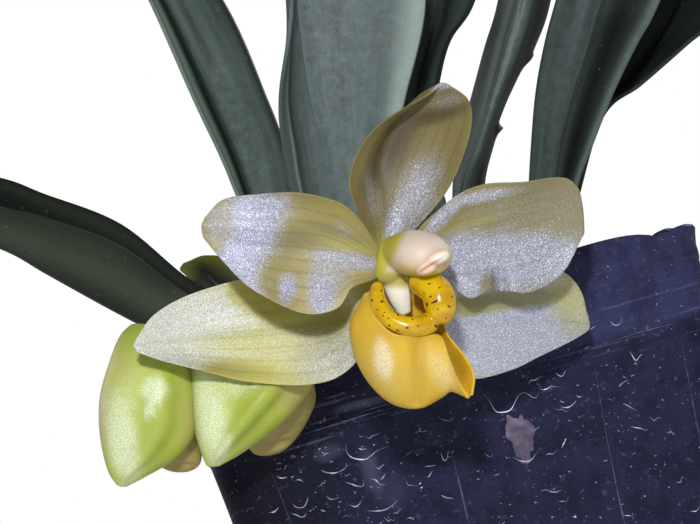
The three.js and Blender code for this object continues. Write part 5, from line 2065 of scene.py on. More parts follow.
# PEARL patches lay the pearly glitter, a painted highlight where a tepal faces the light, and hold it back
# where shadows fall; GREEN and most GOLD patches are the flesh's own tones.
TEPAL_PATCHES: dict[str, Paint] = {
    "dorsal_sepal": {
        Tint.PEARL: [(2.2, 7.6, 2.3, 4.8, -23, 0.62, 0.7), (-3.0, 7.6, 0.9, 3.0, 12, 0.3, 0.7),
            (-0.4, 3.9, 1.0, 2.9, -10, 0.95, 0.6), (6.1, 19.6, 1.9, 0.9, 15, 0.28, 0.7),
            (5.3, 21.1, 1.2, 0.4, 10, 0.6, 0.7)],
        # Painted shade: the dark band along the hood's fold and under its tip.
        Tint.DARK: [(-0.9, 13.2, 1.7, 6.2, -30, 1.0, 0.8), (4.0, 17.6, 4.2, 0.8, 14, 0.9, 0.8)],
        Tint.GREEN: [(-1.4, 1.8, 1.4, 2.4, -10, 0.5, 0.7)],
    },
    "petal_left": {
        Tint.PEARL: [(-12.0, -1.6, 9.0, 5.4, 0, 0.1, 0.7), (-18.0, 2.6, 3.0, 3.4, -25, 0.7, 0.6),
            (-17.5, 5.9, 3.7, 2.7, 4, 0.9, 0.55), (-19.7, -0.2, 2.5, 5.2, -27, 1.0, 0.65),
            (-19.4, -2.6, 1.6, 3.4, 40, 0.9, 0.65), (-22.3, 4.1, 1.8, 2.4, 0, 0.5, 0.7),
            (-13.6, -3.7, 1.1, 1.7, -8, 0.85, 0.6), (-8.4, -1.8, 2.6, 2.4, 0, 0.5, 0.6),
            (-6.4, -0.2, 4.4, 1.0, -8, 0.75, 0.6), (-9.4, -4.5, 1.6, 2.6, 4, 0.85, 0.65),
            (-6.7, 3.6, 1.3, 0.9, -30, 0.22, 0.7)],
        # The GOLD patch at (-8.0, -1.2) lightens the petal's base where it turns from the light, a painted
        # highlight.
        Tint.GOLD: [(-22.3, 4.1, 2.2, 2.8, 0, 0.35, 0.7), (-8.0, -1.2, 4.4, 2.2, 0, 0.7, 0.8),
            (-6.2, -4.4, 1.4, 3.4, -30, 0.9, 0.6), (-11.4, -5.4, 1.3, 2.2, 0, 0.6, 0.7)],
        # Painted shade where the upper margin rolls back, and darker streaks across the middle.
        Tint.DARK: [(-13.0, 2.6, 4.2, 1.3, 6, 0.4, 0.8), (-16.4, 8.2, 6.4, 1.7, -4, 0.6, 0.8),
            (-7.4, 3.0, 4.0, 0.6, -22, 0.3, 0.8)],
        Tint.GREEN: [(-6.0, 1.8, 4.2, 0.7, -14, 0.6, 0.8)],
    },
    "petal_right": {
        Tint.PEARL: [(16.5, 6.6, 8.4, 2.8, 6, 0.2, 0.7), (14.6, -0.4, 10.6, 3.7, 3, 0.85, 0.5),
            (8.6, -1.3, 3.6, 4.2, 0, 0.9, 0.55), (5.9, 5.5, 0.9, 3.4, -40, 0.75, 0.5),
            (10.6, 7.8, 4.2, 0.7, 10, 0.65, 0.6), (11.4, -3.2, 0.9, 1.6, 0, 0.2, 0.6)],
        Tint.GREEN: [(8.4, 4.2, 5.4, 1.0, 18, 0.25, 0.8)],
        Tint.DARK: [(12.1, -2.4, 0.35, 1.2, 0, 1.0, 0.5)],
    },
    "lateral_sepal_left": {
        Tint.PEARL: [(-17.3, -10.4, 14.0, 6.0, -4, 0.34, 0.6), (-26.4, -8.6, 8.4, 5.0, 15, 0.95, 0.6),
            (-7.4, -13.2, 4.4, 2.6, 20, 0.6, 0.6), (-6.4, -8.0, 1.9, 4.2, 0, 0.6, 0.6),
            # No glitter where the left petal's shadow falls, a painted shadow.
            (-13.2, -5.9, 8.0, 3.3, -16, 0.0, 0.22), (-19.6, -14.4, 4.6, 1.7, -4, 0.05, 0.4),
            (-16.4, -10.6, 8.0, 2.0, 2, 0.36, 0.8)],
        Tint.GREEN: [(-18.0, -10.6, 11.0, 2.0, 4, 0.85, 0.8), (-13.0, -13.4, 6.0, 1.4, -8, 0.6, 0.8)],
        # Painted shadow of the left petal, painted shade where the sepal turns down beside the lip, and
        # darker along its lower margin.
        Tint.DARK: [(-13.2, -6.0, 8.0, 3.1, -16, 0.22, 0.3), (-7.6, -12.0, 4.4, 4.2, 15, 0.6, 0.8),
            (-24.6, -13.4, 6.0, 1.2, -8, 0.4, 0.8)],
    },
    "lateral_sepal_right": {
        Tint.PEARL: [(11.0, -8.6, 14.0, 8.0, -4, 0.82, 0.5), (22.8, -5.0, 2.6, 4.4, 20, 0.3, 0.6),
            # Less glitter where the right petal's shadow falls, a painted shadow.
            (14.0, -5.4, 9.0, 1.3, 6, 0.15, 0.4), (9.3, -5.9, 3.2, 1.5, 0, 0.1, 0.4)],
        Tint.GREEN: [(22.6, -4.4, 2.4, 3.6, 20, 0.6, 0.6), (9.0, -2.2, 6.6, 1.1, 4, 0.5, 0.6)],
        # Painted shadow of the right petal.
        Tint.DARK: [(14.0, -5.2, 9.0, 1.2, 6, 0.25, 0.5)],
    },
}


# Height of the margin's waves in millimetres, and their number
TEPAL_WAVES = {"dorsal_sepal": (0.25, 3), "petal_left": (0.4, 5), "petal_right": (0.3, 4)}

# Name, flesh, vein, pearl and shade, the bright and dim tones of the painted glitter highlight
TEPAL_SKINS: dict[str, TepalFinish] = {
    "dorsal_sepal": TepalFinish(
        "dorsal_flesh", "#756829", "#5a5116", "#b8bcd4", "#777b94", dark="#483c10"
    ),
    "petal_left": TepalFinish("petal_flesh"),
    "petal_right": TepalFinish("right_petal_flesh", "#7b723a", pearl_glint="#aeb4cf", shade="#7d83a3"),
    "lateral_sepal_left": TepalFinish(
        "sepal_flesh", "#b5ae38", "#978f20", "#e2e6ea", "#b4b9b6", green="#bdbb30", vein_share=0.45
    ),
    "lateral_sepal_right": TepalFinish(
        "right_sepal_flesh", "#98944a", "#7d7a28", "#bac1e2", "#8b92b6", vein_share=0.25
    ),
}


class Tepals:
    """The flower's three sepals and two petals."""

    @staticmethod
    def waves(name: str) -> Relief:
        """The height of a tepal's waved margin, as the solids have it."""
        height, count = TEPAL_WAVES.get(name, (0.3, 3))
        return lambda u, v: height * u * u * np.sin(count * math.pi * v + u * 1.5) * np.sin(math.pi * v)

    @staticmethod
    def folds(name: str) -> Relief:
        """The folds that one tepal has and another hasn't.

        Args:
            name: Name of the tepal's node.

        Returns:
            Height towards the viewer, in millimetres.
        """

        def dorsal(u: Array, v: Array) -> Array:
            """A valley beside the midrib under a raised hood.

            Args:
                u: Places across the tepal, -1 to 1.
                v: Places along it, 0 to 1.

            Returns:
                Heights in millimetres.
            """
            valley = -1.0 * bell(u, -0.4, 0.2) * soft_step(v, 0.25, 0.5) * soft_step(v, 1.0, 0.85)
            hood = 0.35 * bell(u, -0.95, 0.3) * soft_step(v, 0.3, 0.6)
            return valley + hood * soft_step(v, 1.0, 0.92)

        def left_petal(u: Array, v: Array) -> Array:
            """A rolled lower margin and a swollen outer half.

            Args:
                u: Places across the tepal, -1 to 1.
                v: Places along it, 0 to 1.

            Returns:
                Heights in millimetres.
            """
            roll = 0.9 * bell(u, 0.95, 0.25) * bell(v, 0.2, 0.1)
            swell = 0.5 * bell(u, -0.35, 0.3) * bell(v, 0.8, 0.25)
            return roll + swell - 0.3 * bell(u, 0.15, 0.2) * bell(v, 0.45, 0.3)

        def right_petal(u: Array, v: Array) -> Array:
            """A curled upper margin and a nick in the lower one.

            Args:
                u: Places across the tepal, -1 to 1.
                v: Places along it, 0 to 1.

            Returns:
                Heights in millimetres.
            """
            curl = -0.9 * bell(u, -1.0, 0.16) * soft_step(v, 0.05, 0.2) * soft_step(v, 0.75, 0.5)
            nick = -1.3 * bell(v, 0.5, 0.03) * soft_step(u, 0.5, 0.95)
            lobe = 0.7 * bell(u, 0.8, 0.22) * bell(v, 0.36, 0.09)
            return curl + nick + lobe + 0.4 * bell(u, 0.3, 0.35) * bell(v, 0.6, 0.3)

        def lateral(u: Array, v: Array) -> Array:
            """A swollen middle with a groove along the midrib."""
            groove = 0.25 * bell(u, 0.0, 0.08) * soft_step(v, 0.1, 0.4)
            return 0.35 * bell(u, 0.3, 0.35) * bell(v, 0.5, 0.4) - groove

        shapes = {"dorsal_sepal": dorsal, "petal_left": left_petal, "petal_right": right_petal}
        return shapes.get(name, lateral)

    def build(self) -> None:
        """Makes, paints and hands over the five tepals."""
        for name, rails in TEPAL_RAILS.items():
            blade = Blade(
                name=name + "_fine",
                rails=rails,
                thickness=0.55,
                margin=0.35,
                ripple=self.waves(name),
                relief=self.folds(name),
            )
            piece = blade.build(FACE.out)
            paint_patches(piece, TEPAL_PATCHES[name])
            slot = "petal" if name.startswith("petal") else "sepal"
            Workshop.hand_over(piece, [TEPAL_SKINS[name]], slot, [name])


@dataclass
class Lip:
    """A deep pouch whose margins part on its right and end in a pointed spout."""

    keel: Rail = field(
        default_factory=lambda: [(-3.5, -4.2, 0.6), (-5.3, -8, -0.6), (-4.8, -12, -1.2),
            (-3.1, -15.4, -1.2), (-0.5, -17.7, -0.8), (2.6, -18.2, 0), (5.2, -16.9, 0.9), (6.6, -16, 1.8),
            (8.7, -16.8, 3.6)]
    )
    mouth: Rail = field(
        default_factory=lambda: [(-2.2, -4, 2), (-1, -6.4, 2.6), (1.6, -8, 3), (4.2, -8.7, 3),
            (5.8, -9.9, 3.2), (7.1, -11.8, 3.6), (8.2, -14, 4), (8.9, -16.4, 4)]
    )
    front: Rail = field(
        default_factory=lambda: [(-3.3, -4, 2.2), (-3.4, -5.4, 4.4), (-2.5, -7.3, 5.8), (-0.8, -8.9, 6.6),
            (1.7, -9.3, 6.6), (4.9, -9.2, 5.4), (6, -11.6, 5.2), (7, -14.3, 4.9), (8.4, -16.9, 4.4)]
    )
    rear: Rail = field(
        default_factory=lambda: [(-2.2, -3, 0.4), (0, -2.2, -0.8), (2.2, -2, -1.2), (4.2, -3.6, -0.6),
            (5.2, -6.8, 1.8), (6, -9.2, 4), (7.9, -11.6, 4), (9.2, -14.1, 3.9), (8.9, -16.7, 4)]
    )
    half_depth: tuple[float, ...] = (1.6, 3.4, 4.2, 4.4, 4.2, 3.2, 2, 1.2, 0.5)
    reach: float = 100.0
    thickness: float = 0.5
    margin: float = 0.6
    faces: int = 66

    def place(self, u: Array, v: Array) -> Array:
        """Places on the pouch's wall.

        Args:
            u: Places from the rear margin over the keel to the front one, -1 to 1.
            v: Places from the foot to the spout's tip.

        Returns:
            Points on the flower's axes.
        """
        middle = Curve(self.mouth).at(v)
        down = Curve(self.keel).at(v) - middle
        ahead = np.array([0.0, 0.0, 1.0])
        side = unit(ahead - unit(down) * (unit(down) @ ahead)[:, None])
        depth = run_of(self.half_depth, v)

        def wall(share: Array) -> Array:
            """Places on the round wall without its margins."""
            angle = math.radians(self.reach) * share
            return middle + down * np.cos(angle)[:, None] + side * (depth * np.sin(angle))[:, None]

        points = wall(u)
        for margin, sign in ((self.front, 1.0), (self.rear, -1.0)):
            pull = Curve(margin).at(v) - wall(np.full(len(u), sign))
            points = points + pull * (np.clip(u * sign, 0, 1) ** 2.6)[:, None]
        ahead_of = soft_step(points[:, 2], 0.5, 2.5)
        valley = 0.8 * bell(points[:, 0], 2.3, 0.9) * soft_step(points[:, 1], -8.6, -10.5) * ahead_of
        lobe = 0.5 * bell(points[:, 0], 4.6, 1.3) * bell(points[:, 1], -12.6, 2.6) * ahead_of
        belly = 0.4 * bell(points[:, 0], -1.4, 2.2) * bell(points[:, 1], -12, 3.5) * ahead_of
        points[:, 2] += belly + lobe - valley
        return points

    def build(self) -> None:
        """Makes, paints and hands over the lip."""
        piece = Workshop.sheet("lip_fine", self.faces, self.faces, lambda u, v: FACE.out(self.place(u, v)))
        across, _ = Workshop.uv_of(piece)
        Workshop.thicken(piece, self.thickness, self.margin, across * 2 - 1)
        Workshop.modify(piece, "SUBSURF", levels=1, render_levels=1)
        paint = {
            Tint.GREEN: [(-1.6, -14.4, 4.2, 4.0, 10, 0.6, 0.7), (4.4, -13.0, 1.7, 3.0, 24, 0.45, 0.7)],
            # Painted shade in the valley between pouch and lobe, inside the spout and along the mouth under
            # the callus.
            Tint.DARK: [(2.5, -12.0, 0.7, 4.4, 0, 0.6, 0.8), (7.2, -13.4, 0.9, 2.2, 18, 0.9, 0.6),
                (2.0, -9.2, 4.4, 0.9, -6, 0.6, 0.7)],
            # A painted glitter highlight on the pouch's belly and on the lobe.
            Tint.PEARL: [(-1.9, -12.3, 1.1, 2.3, 8, 0.8, 0.6), (5.2, -13.6, 1.3, 2.6, 30, 0.3, 0.7)],
        }
        paint_patches(piece, paint)
        Workshop.hand_over(piece, [GoldFinish()], "lip", ["lip"])


class Heart:
    """The flower's middle: column with its foot, anther cap and callus."""

    CLUB = Limb(
        [(-1, 0.1, -1.5), (-0.6, 0.5, 0.5), (0.4, 0.7, 2.5), (1.8, 0.7, 4.3), (3.2, 0.4, 5.8),
         (4.4, -0.1, 7), (5.3, -0.7, 7.9)],
        [(1.8, 1.7), (2.0, 2.0), (2.6, 2.4), (3.4, 2.8), (3.6, 2.7), (2.8, 2.2), (1.2, 1.1)],
        (0.0, 1.0, 0.0),
        48,
        48,
        0.05,
    )
    FOOT = Limb(
        [(-0.9, -0.6, 1.2), (-0.4, -2.6, 1.5), (0.2, -4.8, 1.5), (0.9, -7, 1.2)],
        [(1.7, 1.2), (1.6, 1.1), (1.35, 0.9), (0.8, 0.6)],
        (0.0, 0.0, 1.0),
        32,
        32,
        0.05,
    )
    APRON = Limb(
        [(0.2, 2.2, 1.2), (-0.6, 1.0, 2.2), (-1.1, -0.8, 2.6), (-1.5, -2.2, 2.2), (-1.7, -3.0, 1.6)],
        [(1.2, 0.9), (1.7, 1.3), (1.7, 1.3), (1.4, 0.9), (0.7, 0.5)],
        (0.0, 0.0, 1.0),
        32,
        32,
        0.08,
    )
    LOBES = (
        [(2.1, -1.6, 7.3), (3.2, -1.1, 8.5), (4.4, -0.6, 8.9)],
        [(3.1, -0.5, 8.6), (4.6, 0.1, 9.3), (5.9, 0.5, 8.6)],
    )
    THIN_ARM = Limb(
        [(-2.5, -2.9, 3.0), (-2.6, -5, 4.6), (-1.5, -6.9, 5.8), (0.6, -8.1, 6.4), (2.8, -8.1, 6.2),
         (4.4, -7.4, 5.6)],
        [0.75, 1.0, 1.15, 1.2, 1.25, 1.3],
        (0.0, 0.2, 1.0),
        32,
        48,
        0.08,
    )
    FAT_ARM = Limb(
        [(1.7, -2.9, 3.4), (3.2, -3.1, 4.6), (4.6, -4.1, 5.5), (5, -5.9, 5.9), (4.9, -8, 5.6)],
        [1.3, 1.75, 1.95, 1.95, 1.35],
        (0.0, 0.2, 1.0),
        40,
        48,
        0.1,
    )

    SPECKS = (
        (-2.05, -5.2, 0.24, 0.13, 0), (-3.25, -5.1, 0.12, 0.2, 0), (-2.1, -3.9, 0.12, 0.1, 0),
        (-0.35, -6.35, 0.32, 0.2, -20), (-0.1, -6.75, 0.2, 0.12, 30), (-1.3, -7.2, 0.16, 0.1, 30),
        (-1.75, -6.5, 0.12, 0.1, 0), (-1.95, -6.9, 0.15, 0.1, -40), (-1.2, -8.05, 0.2, 0.12, -30),
        (-0.2, -8.65, 0.22, 0.12, 0), (0.95, -8.35, 0.22, 0.13, 0), (2.25, -8.1, 0.17, 0.12, 0),
        (-2.7, -6.2, 0.12, 0.1, 0), (3.65, -3.05, 0.22, 0.1, 20), (4.85, -3.5, 0.18, 0.09, 10),
        (3.75, -4.6, 0.14, 0.18, 0), (4.25, -5.2, 0.5, 0.13, 25), (5.95, -5.75, 0.3, 0.12, -35),
        (3.35, -5.55, 0.12, 0.25, 0), (4.6, -6.1, 0.14, 0.09, 0), (2.7, -5.35, 0.14, 0.32, 20),
        (2.8, -6.3, 0.16, 0.26, -20), (3.0, -4.2, 0.1, 0.1, 0), (4.45, -8.15, 0.3, 0.2, -40),
        (5.0, -8.6, 0.45, 0.2, 0), (5.5, -8.3, 0.15, 0.12, 0), (6.3, -4.6, 0.12, 0.14, 0),
        (5.6, -7.2, 0.14, 0.1, 0), (3.2, -6.9, 0.12, 0.1, 0), (1.6, -7.3, 0.12, 0.1, 0),
    )

    def column(self) -> None:
        """Makes the column and its foot as one grown body."""
        bodies = {"club": self.CLUB, "foot": self.FOOT, "apron": self.APRON}
        pieces = [body.build(name, FACE.out) for name, body in bodies.items()]
        piece = Workshop.fuse("column_fine", pieces, 0.15, 6)
        local = FACE.back(Workshop.read(piece) / MM)
        x, y, z = local.T
        zones = zone_table(len(local))
        edge = soft_step(x - 0.45 * y, -0.1, -1.4) * soft_step(y, -4.4, -2.8)
        under = soft_step(y, -1.2, -2.0) * soft_step(y, -4.2, -3.2)
        zones[:, Tint.GREEN.value] = np.maximum(edge * 0.95, under * 0.8)
        zones[:, Tint.GOLD.value] = bell(z, 7.0, 1.6) * soft_step(y, 0.6, -1.6) * 0.7
        zones[:, Tint.PEARL.value] = soft_step(y, -3.0, -4.2)
        Workshop.paint(piece, zones)
        Workshop.hand_over(piece, [ColumnFinish("column_flesh")], "column", ["column"])

    def anther(self) -> None:
        """Makes the anther cap's two lobes."""
        pieces = [Limb(path, [0.55, 0.8, 0.6], cap=0.25).build("lobe", FACE.out) for path in self.LOBES]
        piece = Workshop.fuse("anther_fine", pieces, 0.12, 3)
        # A painted highlight on the upper lobe, and darker along the crease between the lobes.
        paint = {
            Tint.DARK: [(3.7, -0.75, 1.5, 0.16, 32, 0.7, 0.8)],
            Tint.PEARL: [(4.9, 0.2, 1.2, 0.4, 25, 0.8, 0.8)],
        }
        paint_patches(piece, paint)
        Workshop.hand_over(piece, [ColumnFinish("anther_flesh", flesh="#f0c9b2")], "anther", ["anther_cap"])

    def callus(self) -> None:
        """Makes the callus: a thin arm and a swollen one that meet in the lip's mouth."""
        pieces = [self.THIN_ARM.build("thin_arm", FACE.out), self.FAT_ARM.build("fat_arm", FACE.out)]
        piece = Workshop.fuse("callus_fine", pieces, 0.1, 8)
        local = FACE.back(Workshop.read(piece) / MM)
        zones = zone_table(len(local))
        for x, y, long, wide, turn in self.SPECKS:
            patch = Patch(x, y, long, wide, turn, 1.0, 0.3)
            share = patch.cover(local[:, 0], local[:, 1], np.zeros(len(local)))
            zones[:, Tint.DARK.value] = np.maximum(zones[:, Tint.DARK.value], share)
        Workshop.paint(piece, zones)
        Workshop.hand_over(piece, [CallusFinish()], "callus", ["lip_callus"])

    def build(self) -> None:
        """Makes the whole middle."""
        self.column()
        self.anther()
        self.callus()


STALKS: dict[str, Rail] = {
    "flower": [(-15, -6.9, -14), (-14.7, -9, -7), (-13.2, -16, 1.2), (-11, -27, 5.6), (-8, -40, 8.4)],
    "bud_left": [(-21.6, -6.6, -14), (-22, -9.4, -7), (-23.6, -17, 0.4), (-27, -27, 5), (-31, -38, 7.6)],
    "bud_right": [(-18.3, -7.6, -14), (-18.3, -10, -7), (-18.6, -18, 0), (-19.6, -30, 3.6),
        (-21.4, -39, 4.4)],
}


def make_stalk(name: str, end: Rail, sizes: Sequence[float]) -> None:
    """Makes the stalk of a flower or a bud and hands it over.

    Args:
        name: Which one, as in STALKS.
        end: Its last points, on the flower's axes.
        sizes: Its radii from the bark to its end.
    """
    lower = FACE.back(np.array([(x, y, z + POT_HEIGHT) for x, y, z in STALKS[name]], float))
    path = [tuple(p) for p in lower] + end
    stem = Limb(path, sizes, (1.0, 0.0, 0.0), 24, 90).build(name + "_stem", FACE.out)
    paint_patches(stem, {})
    Workshop.hand_over(stem, [BudFinish("stalk_flesh", "#8c9a35")], "stalk", [name + "_stalk"])


@dataclass
class Bud:
    """A closed bud on its stalk, with the rounded rear sepal behind it."""

    name: str
    closed: Pod
    rear: Pod
    paint: Paint

    def build(self, flesh: BudFinish, rear_flesh: BudFinish) -> None:
        """Makes, paints and hands over the bud's three pieces.

        Args:
            flesh: Finish of the closed bud.
            rear_flesh: Finish of the rear sepal.
        """
        top = (np.array(self.closed.left[0]) + np.array(self.closed.right[0])) / 2
        behind = (top[0] + 2.2, top[1] - 1.0, top[2] - 3.4)
        inside = (top[0], top[1] - 1.6, top[2])
        make_stalk(self.name, [behind, inside], [1.3, 1.3, 1.2, 1.2, 1.3, 1.3, 1.2])
        piece = self.closed.build(self.name + "_fine")
        paint_patches(piece, self.paint)
        Workshop.hand_over(piece, [flesh], "bud", [self.name])
        rear = self.rear.build(self.name + "_rear_fine", 48, 48)
        paint_patches(rear, {})
        Workshop.hand_over(rear, [rear_flesh], "bud_rear", [self.name + "_rear_sepal"])


def ridge(start: float, end: float, width: float, height: float) -> Relief:
    """A soft ridge along a bud.

    Args:
        start: Its angle at the bud's top, in degrees.
        end: Its angle at the bud's tip.
        width: Its half width in degrees.
        height: Its height as a share of the bud's radius.

    Returns:
        The height for an angle in radians and a share of the length.
    """

    def swell(angle: Array, share: Array) -> Array:
        """The ridge, which rises below the bud's top.

        Args:
            angle: Angles round the bud.
            share: Shares of its length.

        Returns:
            Heights in millimetres.
        """
        middle = np.radians(start + (end - start) * share)
        away = np.angle(np.exp(1j * (angle - middle)))
        return height * bell(away, 0.0, math.radians(width)) * soft_step(share, 0.15, 0.5)

    return swell


def make_buds() -> list[Bud]:
    """The two buds, left and right.

    Returns:
        The left bud and the right one.
    """
    return [
        Bud(
            "bud_left",
            Pod(
                [(-34.2, -8.5, -12.6), (-35.8, -10.3, -12), (-37.1, -13.8, -11.4), (-38.1, -17.6, -11),
                 (-38.2, -21.5, -10.8), (-37.7, -24.9, -10.6), (-36.9, -27.5, -10.4),
                 (-35.8, -29.2, -10.2)],
                [(-31.4, -8.8, -12.6), (-28.2, -10.8, -12), (-26.2, -14.7, -11.8), (-25.6, -18.9, -11.6),
                 (-25.8, -22.7, -11.3), (-28.4, -25.8, -10.8), (-32.3, -28.1, -10.4),
                 (-34.8, -29.4, -10.2)],
                (1.2, 3, 4.6, 5, 4.6, 3.4, 2, 0.5),
                (1.2, 3, 4, 4.2, 3.8, 2.8, 1.6, 0.5),
                ridge(66, 88, 15, 0.3),
            ),
            Pod(
                [(-32, -17, -15), (-32.8, -22, -16.4), (-32.1, -25.4, -16.4), (-30.8, -27.2, -16),
                 (-28.9, -27.8, -15.6)],
                [(-27.6, -16, -15), (-26, -21, -16.4), (-25.4, -25.2, -16.4), (-25.6, -26.9, -16),
                 (-26.8, -27.7, -15.6)],
                (2, 3.4, 3, 2, 0.6),
                (2, 3, 2.6, 1.6, 0.6),
            ),
            # DARK patches are painted shade and PEARL patches a painted glitter highlight; GREEN and GOLD
            # are the bud's own tones.
            {
                Tint.GREEN: [(-34.0, -20.0, 3.4, 9.0, 6, 0.6, 0.7), (-34.2, -27.0, 2.0, 2.6, 0, 0.7, 0.7)],
                Tint.GOLD: [(-38.6, -18.0, 1.9, 8.0, 0, 0.8, 0.7), (-26.0, -21.6, 1.6, 4.6, 10, 0.6, 0.7),
                    (-35.2, -13.2, 2.6, 3.0, 20, 0.35, 0.8)],
                Tint.DARK: [(-33.4, -9.4, 3.6, 2.4, 0, 0.6, 0.8), (-30.2, -22.0, 1.6, 6.0, -12, 0.35, 0.8)],
                Tint.PEARL: [(-34.5, -18.2, 1.6, 3.0, 0, 0.3, 0.8), (-34.9, -23.2, 1.9, 5.2, 10, 0.9, 0.6),
                    (-30.6, -16.5, 1.6, 1.4, 0, 1.0, 0.6), (-30.9, -18.4, 0.6, 1.9, -20, 1.0, 0.6)],
            },
        ),
        Bud(
            "bud_right",
            Pod(
                [(-23.9, -9.6, -13), (-26, -12, -12), (-26.6, -15, -11.2), (-26.2, -18.9, -10.6),
                 (-25.8, -22.3, -10), (-25, -24.9, -9.6), (-24.2, -26.6, -9.4)],
                [(-18.9, -9.3, -13), (-12.4, -11.6, -12.6), (-10.7, -15.5, -12), (-12.4, -18.9, -11),
                 (-15.9, -22.2, -10.2), (-20, -25.1, -9.6), (-22.9, -26.7, -9.4)],
                (1.2, 3.2, 4.4, 4.8, 4, 2.4, 0.5),
                (1.2, 3, 4, 4, 3.2, 2, 0.5),
                ridge(58, 92, 14, 0.32),
            ),
            Pod(
                [(-18.4, -14.6, -15.4), (-19.4, -19, -17), (-19.6, -23.4, -17.2), (-18.8, -25.4, -16.8),
                 (-17.2, -25.8, -16.4)],
                [(-11.4, -13.6, -15.8), (-10.4, -18, -17.4), (-11.3, -21, -17.6), (-12.9, -23.5, -17.2),
                 (-14.8, -25.2, -16.4)],
                (2, 3.6, 3.4, 2.2, 0.6),
                (2, 3, 2.8, 1.8, 0.6),
            ),
            # DARK patches are painted shade and PEARL patches a painted glitter highlight; GREEN and GOLD
            # are the bud's own tones.
            {
                Tint.GREEN: [(-23.4, -20.0, 2.8, 7.4, 6, 0.7, 0.7), (-22.6, -25.4, 2.4, 2.2, 0, 0.7, 0.7)],
                Tint.GOLD: [(-13.0, -17.6, 1.9, 4.4, 34, 0.6, 0.7)],
                Tint.DARK: [(-18.8, -20.8, 1.3, 5.8, -38, 0.5, 0.8), (-25.9, -19.6, 0.7, 6.0, 8, 0.5, 0.8)],
                Tint.PEARL: [(-23.8, -19.6, 2.0, 5.6, 8, 0.95, 0.6), (-20.8, -15.8, 3.0, 1.6, 0, 0.45, 0.7),
                    (-22.2, -24.4, 0.8, 2.0, -35, 0.7, 0.6), (-18.2, -16.1, 0.3, 0.8, -25, 1.0, 0.3)],
            },
        ),
    ]


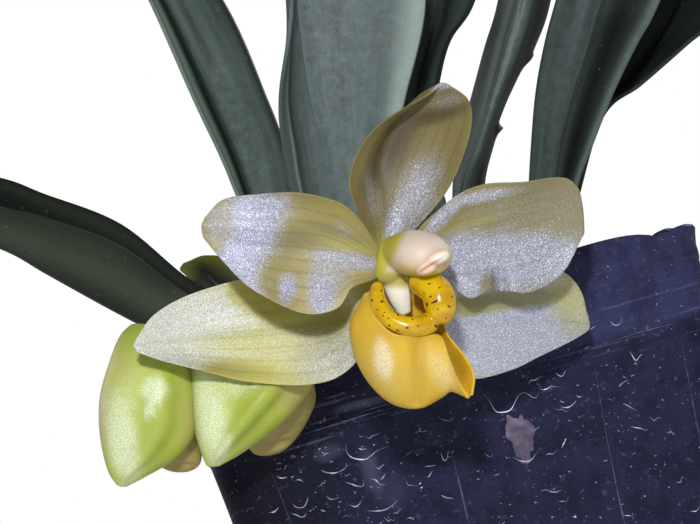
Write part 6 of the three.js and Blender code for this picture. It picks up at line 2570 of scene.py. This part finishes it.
@dataclass
class Studio:
    """The camera at the photographer's place, the lights and the floor."""

    camera_at: Point = (-9.7, -321.1, 71.6)
    look_up: float = 3.0
    lean: float = 16.0
    focal_pixels: float = 2106.0
    frame_pixels: float = 700.0
    sensor: float = 36.0
    floor_radius: float = 450.0
    key_from: Point = (-0.1, 0.33, 1.0)
    key_distance: float = 300.0
    key_power: float = 0.76
    key_size: float = 22.0
    sky: float = 0.24
    back_from: Point = (0.9, 0.9, -1.0)
    back_distance: float = 700.0
    back_power: float = 1.5
    back_size: float = 300.0
    side_from: Point = (-1.0, 0.1, -0.6)
    side_power: float = 1.2

    def camera(self) -> None:
        """Sets the camera at the photograph's viewing angle."""
        up = math.radians(self.look_up)
        forward = Vector((0, math.cos(up), math.sin(up)))
        level = Vector((1, 0, 0))
        above = level.cross(forward)
        lean = math.radians(self.lean)
        right = level * math.cos(lean) - above * math.sin(lean)
        top = level * math.sin(lean) + above * math.cos(lean)
        bpy.ops.object.camera_add()
        camera = bpy.context.object
        camera.name = "photo_camera"
        turn = Matrix((right, top, -forward)).transposed().to_4x4()
        camera.matrix_world = Matrix.Translation(Vector(self.camera_at) * MM) @ turn
        camera.data.sensor_width = self.sensor
        camera.data.lens = self.focal_pixels / self.frame_pixels * self.sensor
        camera.data.clip_start = 0.005
        bpy.context.scene.camera = camera

    def light(self, name: str, direction: Point, distance: float, size: float, power: float) -> None:
        """Adds one square light that looks at the flower.

        Args:
            name: Name of the light.
            direction: Where it stands, on the flower's axes.
            distance: How far from the flower, in millimetres.
            size: Width of the light, in millimetres.
            power: Watts.
        """
        at = FACE.out(unit(np.array(direction, float)[None])[0] * distance)
        bpy.ops.object.light_add(type="AREA", location=Vector(at) * MM)
        lamp = bpy.context.object
        lamp.name = name
        lamp.data.size = size * MM
        lamp.data.energy = power
        lamp.visible_camera = False
        target = Vector(FLOWER_CENTRE) * MM
        lamp.rotation_euler = (target - lamp.location).to_track_quat("-Z", "Y").to_euler()

    def room(self) -> None:
        """Adds the floor and the pale surroundings."""
        bpy.ops.mesh.primitive_circle_add(vertices=96, radius=self.floor_radius * MM, fill_type="NGON")
        floor = bpy.context.object
        floor.name = "floor"
        paper = PlainFinish("floor_paper", "#f4f4f4", "#f0f0f0", 30.0, 0.9, 0.00005)
        floor.data.materials.append(paper.material())
        bpy.ops.mesh.primitive_uv_sphere_add(segments=48, ring_count=24, radius=2.4)
        drop = bpy.context.object
        drop.name = "backdrop"
        glow = bpy.data.materials.new("backdrop_white")
        glow.use_nodes = True
        glow.node_tree.nodes.clear()
        emission = glow.node_tree.nodes.new("ShaderNodeEmission")
        output = glow.node_tree.nodes.new("ShaderNodeOutputMaterial")
        glow.node_tree.links.new(emission.outputs[0], output.inputs[0])
        drop.data.materials.append(glow)
        for ray in ("diffuse", "glossy", "transmission", "volume_scatter", "shadow"):
            setattr(drop, "visible_" + ray, False)
        world = bpy.data.worlds.new("soft_room")
        world.use_nodes = True
        background = world.node_tree.nodes["Background"]
        background.inputs["Color"].default_value = (1.0, 1.0, 1.0, 1.0)
        background.inputs["Strength"].default_value = self.sky
        bpy.context.scene.world = world
        bpy.context.scene.view_settings.view_transform = "Standard"

    def build(self) -> None:
        """Sets up the whole studio."""
        self.camera()
        self.light("key_light", self.key_from, self.key_distance, self.key_size, self.key_power)
        self.light("back_light", self.back_from, self.back_distance, self.back_size, self.back_power)
        self.light("side_light", self.side_from, self.back_distance, self.back_size, self.side_power)
        self.room()


def main() -> None:
    """Builds the orchid piece by piece and sets up the studio."""
    logging.basicConfig(level=logging.INFO, format="%(name)s %(message)s")
    Studio().build()
    pot = Pot()
    marks = LimeMarks(pot)
    layers = [pot.build(), marks.crusts(), marks.scuffs_and_lit_creases(), marks.stain()]
    for index, layer in enumerate(layers):
        layer.data.materials.clear()
        layer.data.materials.append(bpy.data.materials.new("holder_%d" % index))
    dressed = Workshop.join("square_pot", layers)
    finishes = [
        PotFinish(),
        # Lime crusts, near white in part as a painted highlight of the light on them.
        PlainFinish("lime_crust", "#f2f4ff", "#4c5078", 560.0, 0.4, 0.00002, 0.5),
        # Scuffs, and the pale strips along the creases, a painted highlight.
        PlainFinish("scuffed_and_lit_crease_plastic", "#6a6d8a", "#2b2d44", 900.0, 0.5, 0.00002, 0.2),
        PlainFinish("dried_stain", "#83748a", "#4a4459", 520.0, 0.6, 0.00005, 0.2),
    ]
    Workshop.hand_over(dressed, finishes, "pot_plastic", ["pot"])
    bark = PlainFinish("bark_skin", "#8a6040", "#2e1c10", 420.0, 0.9, 0.0005, 0.2, (1.0, 2.2, 2.2))
    Workshop.hand_over(BarkBed().build(), [bark], "bark", ["potting_bark"])
    for fan in (
        Fan("left_crown", FAN_LEFT, [(115, 17), (190, 13)]),
        Fan("right_crown", FAN_RIGHT, [(62, 16), (300, 14), (335, 17)]),
    ):
        Workshop.hand_over(fan.build(), [CrownFinish()], "crown", ["fan_" + fan.name])
    LeafFans().build()
    Tepals().build()
    Lip().build()
    Heart().build()
    neck = [(-1.9, 0.4, -14), (-1.4, -0.3, -7), (-1.2, -0.5, -4.2)]
    make_stalk("flower", neck, [1.4, 1.4, 1.3, 1.3, 1.3, 1.5, 1.9, 2.2])
    flesh = BudFinish("bud_flesh")
    rear = BudFinish("rear_flesh", flesh="#8f813c", pale="#a89a5c", deep="#6f6224", spark="#cfc8a0")
    for bud in make_buds():
        bud.build(flesh, rear)


if __name__ == "__main__":
    main()
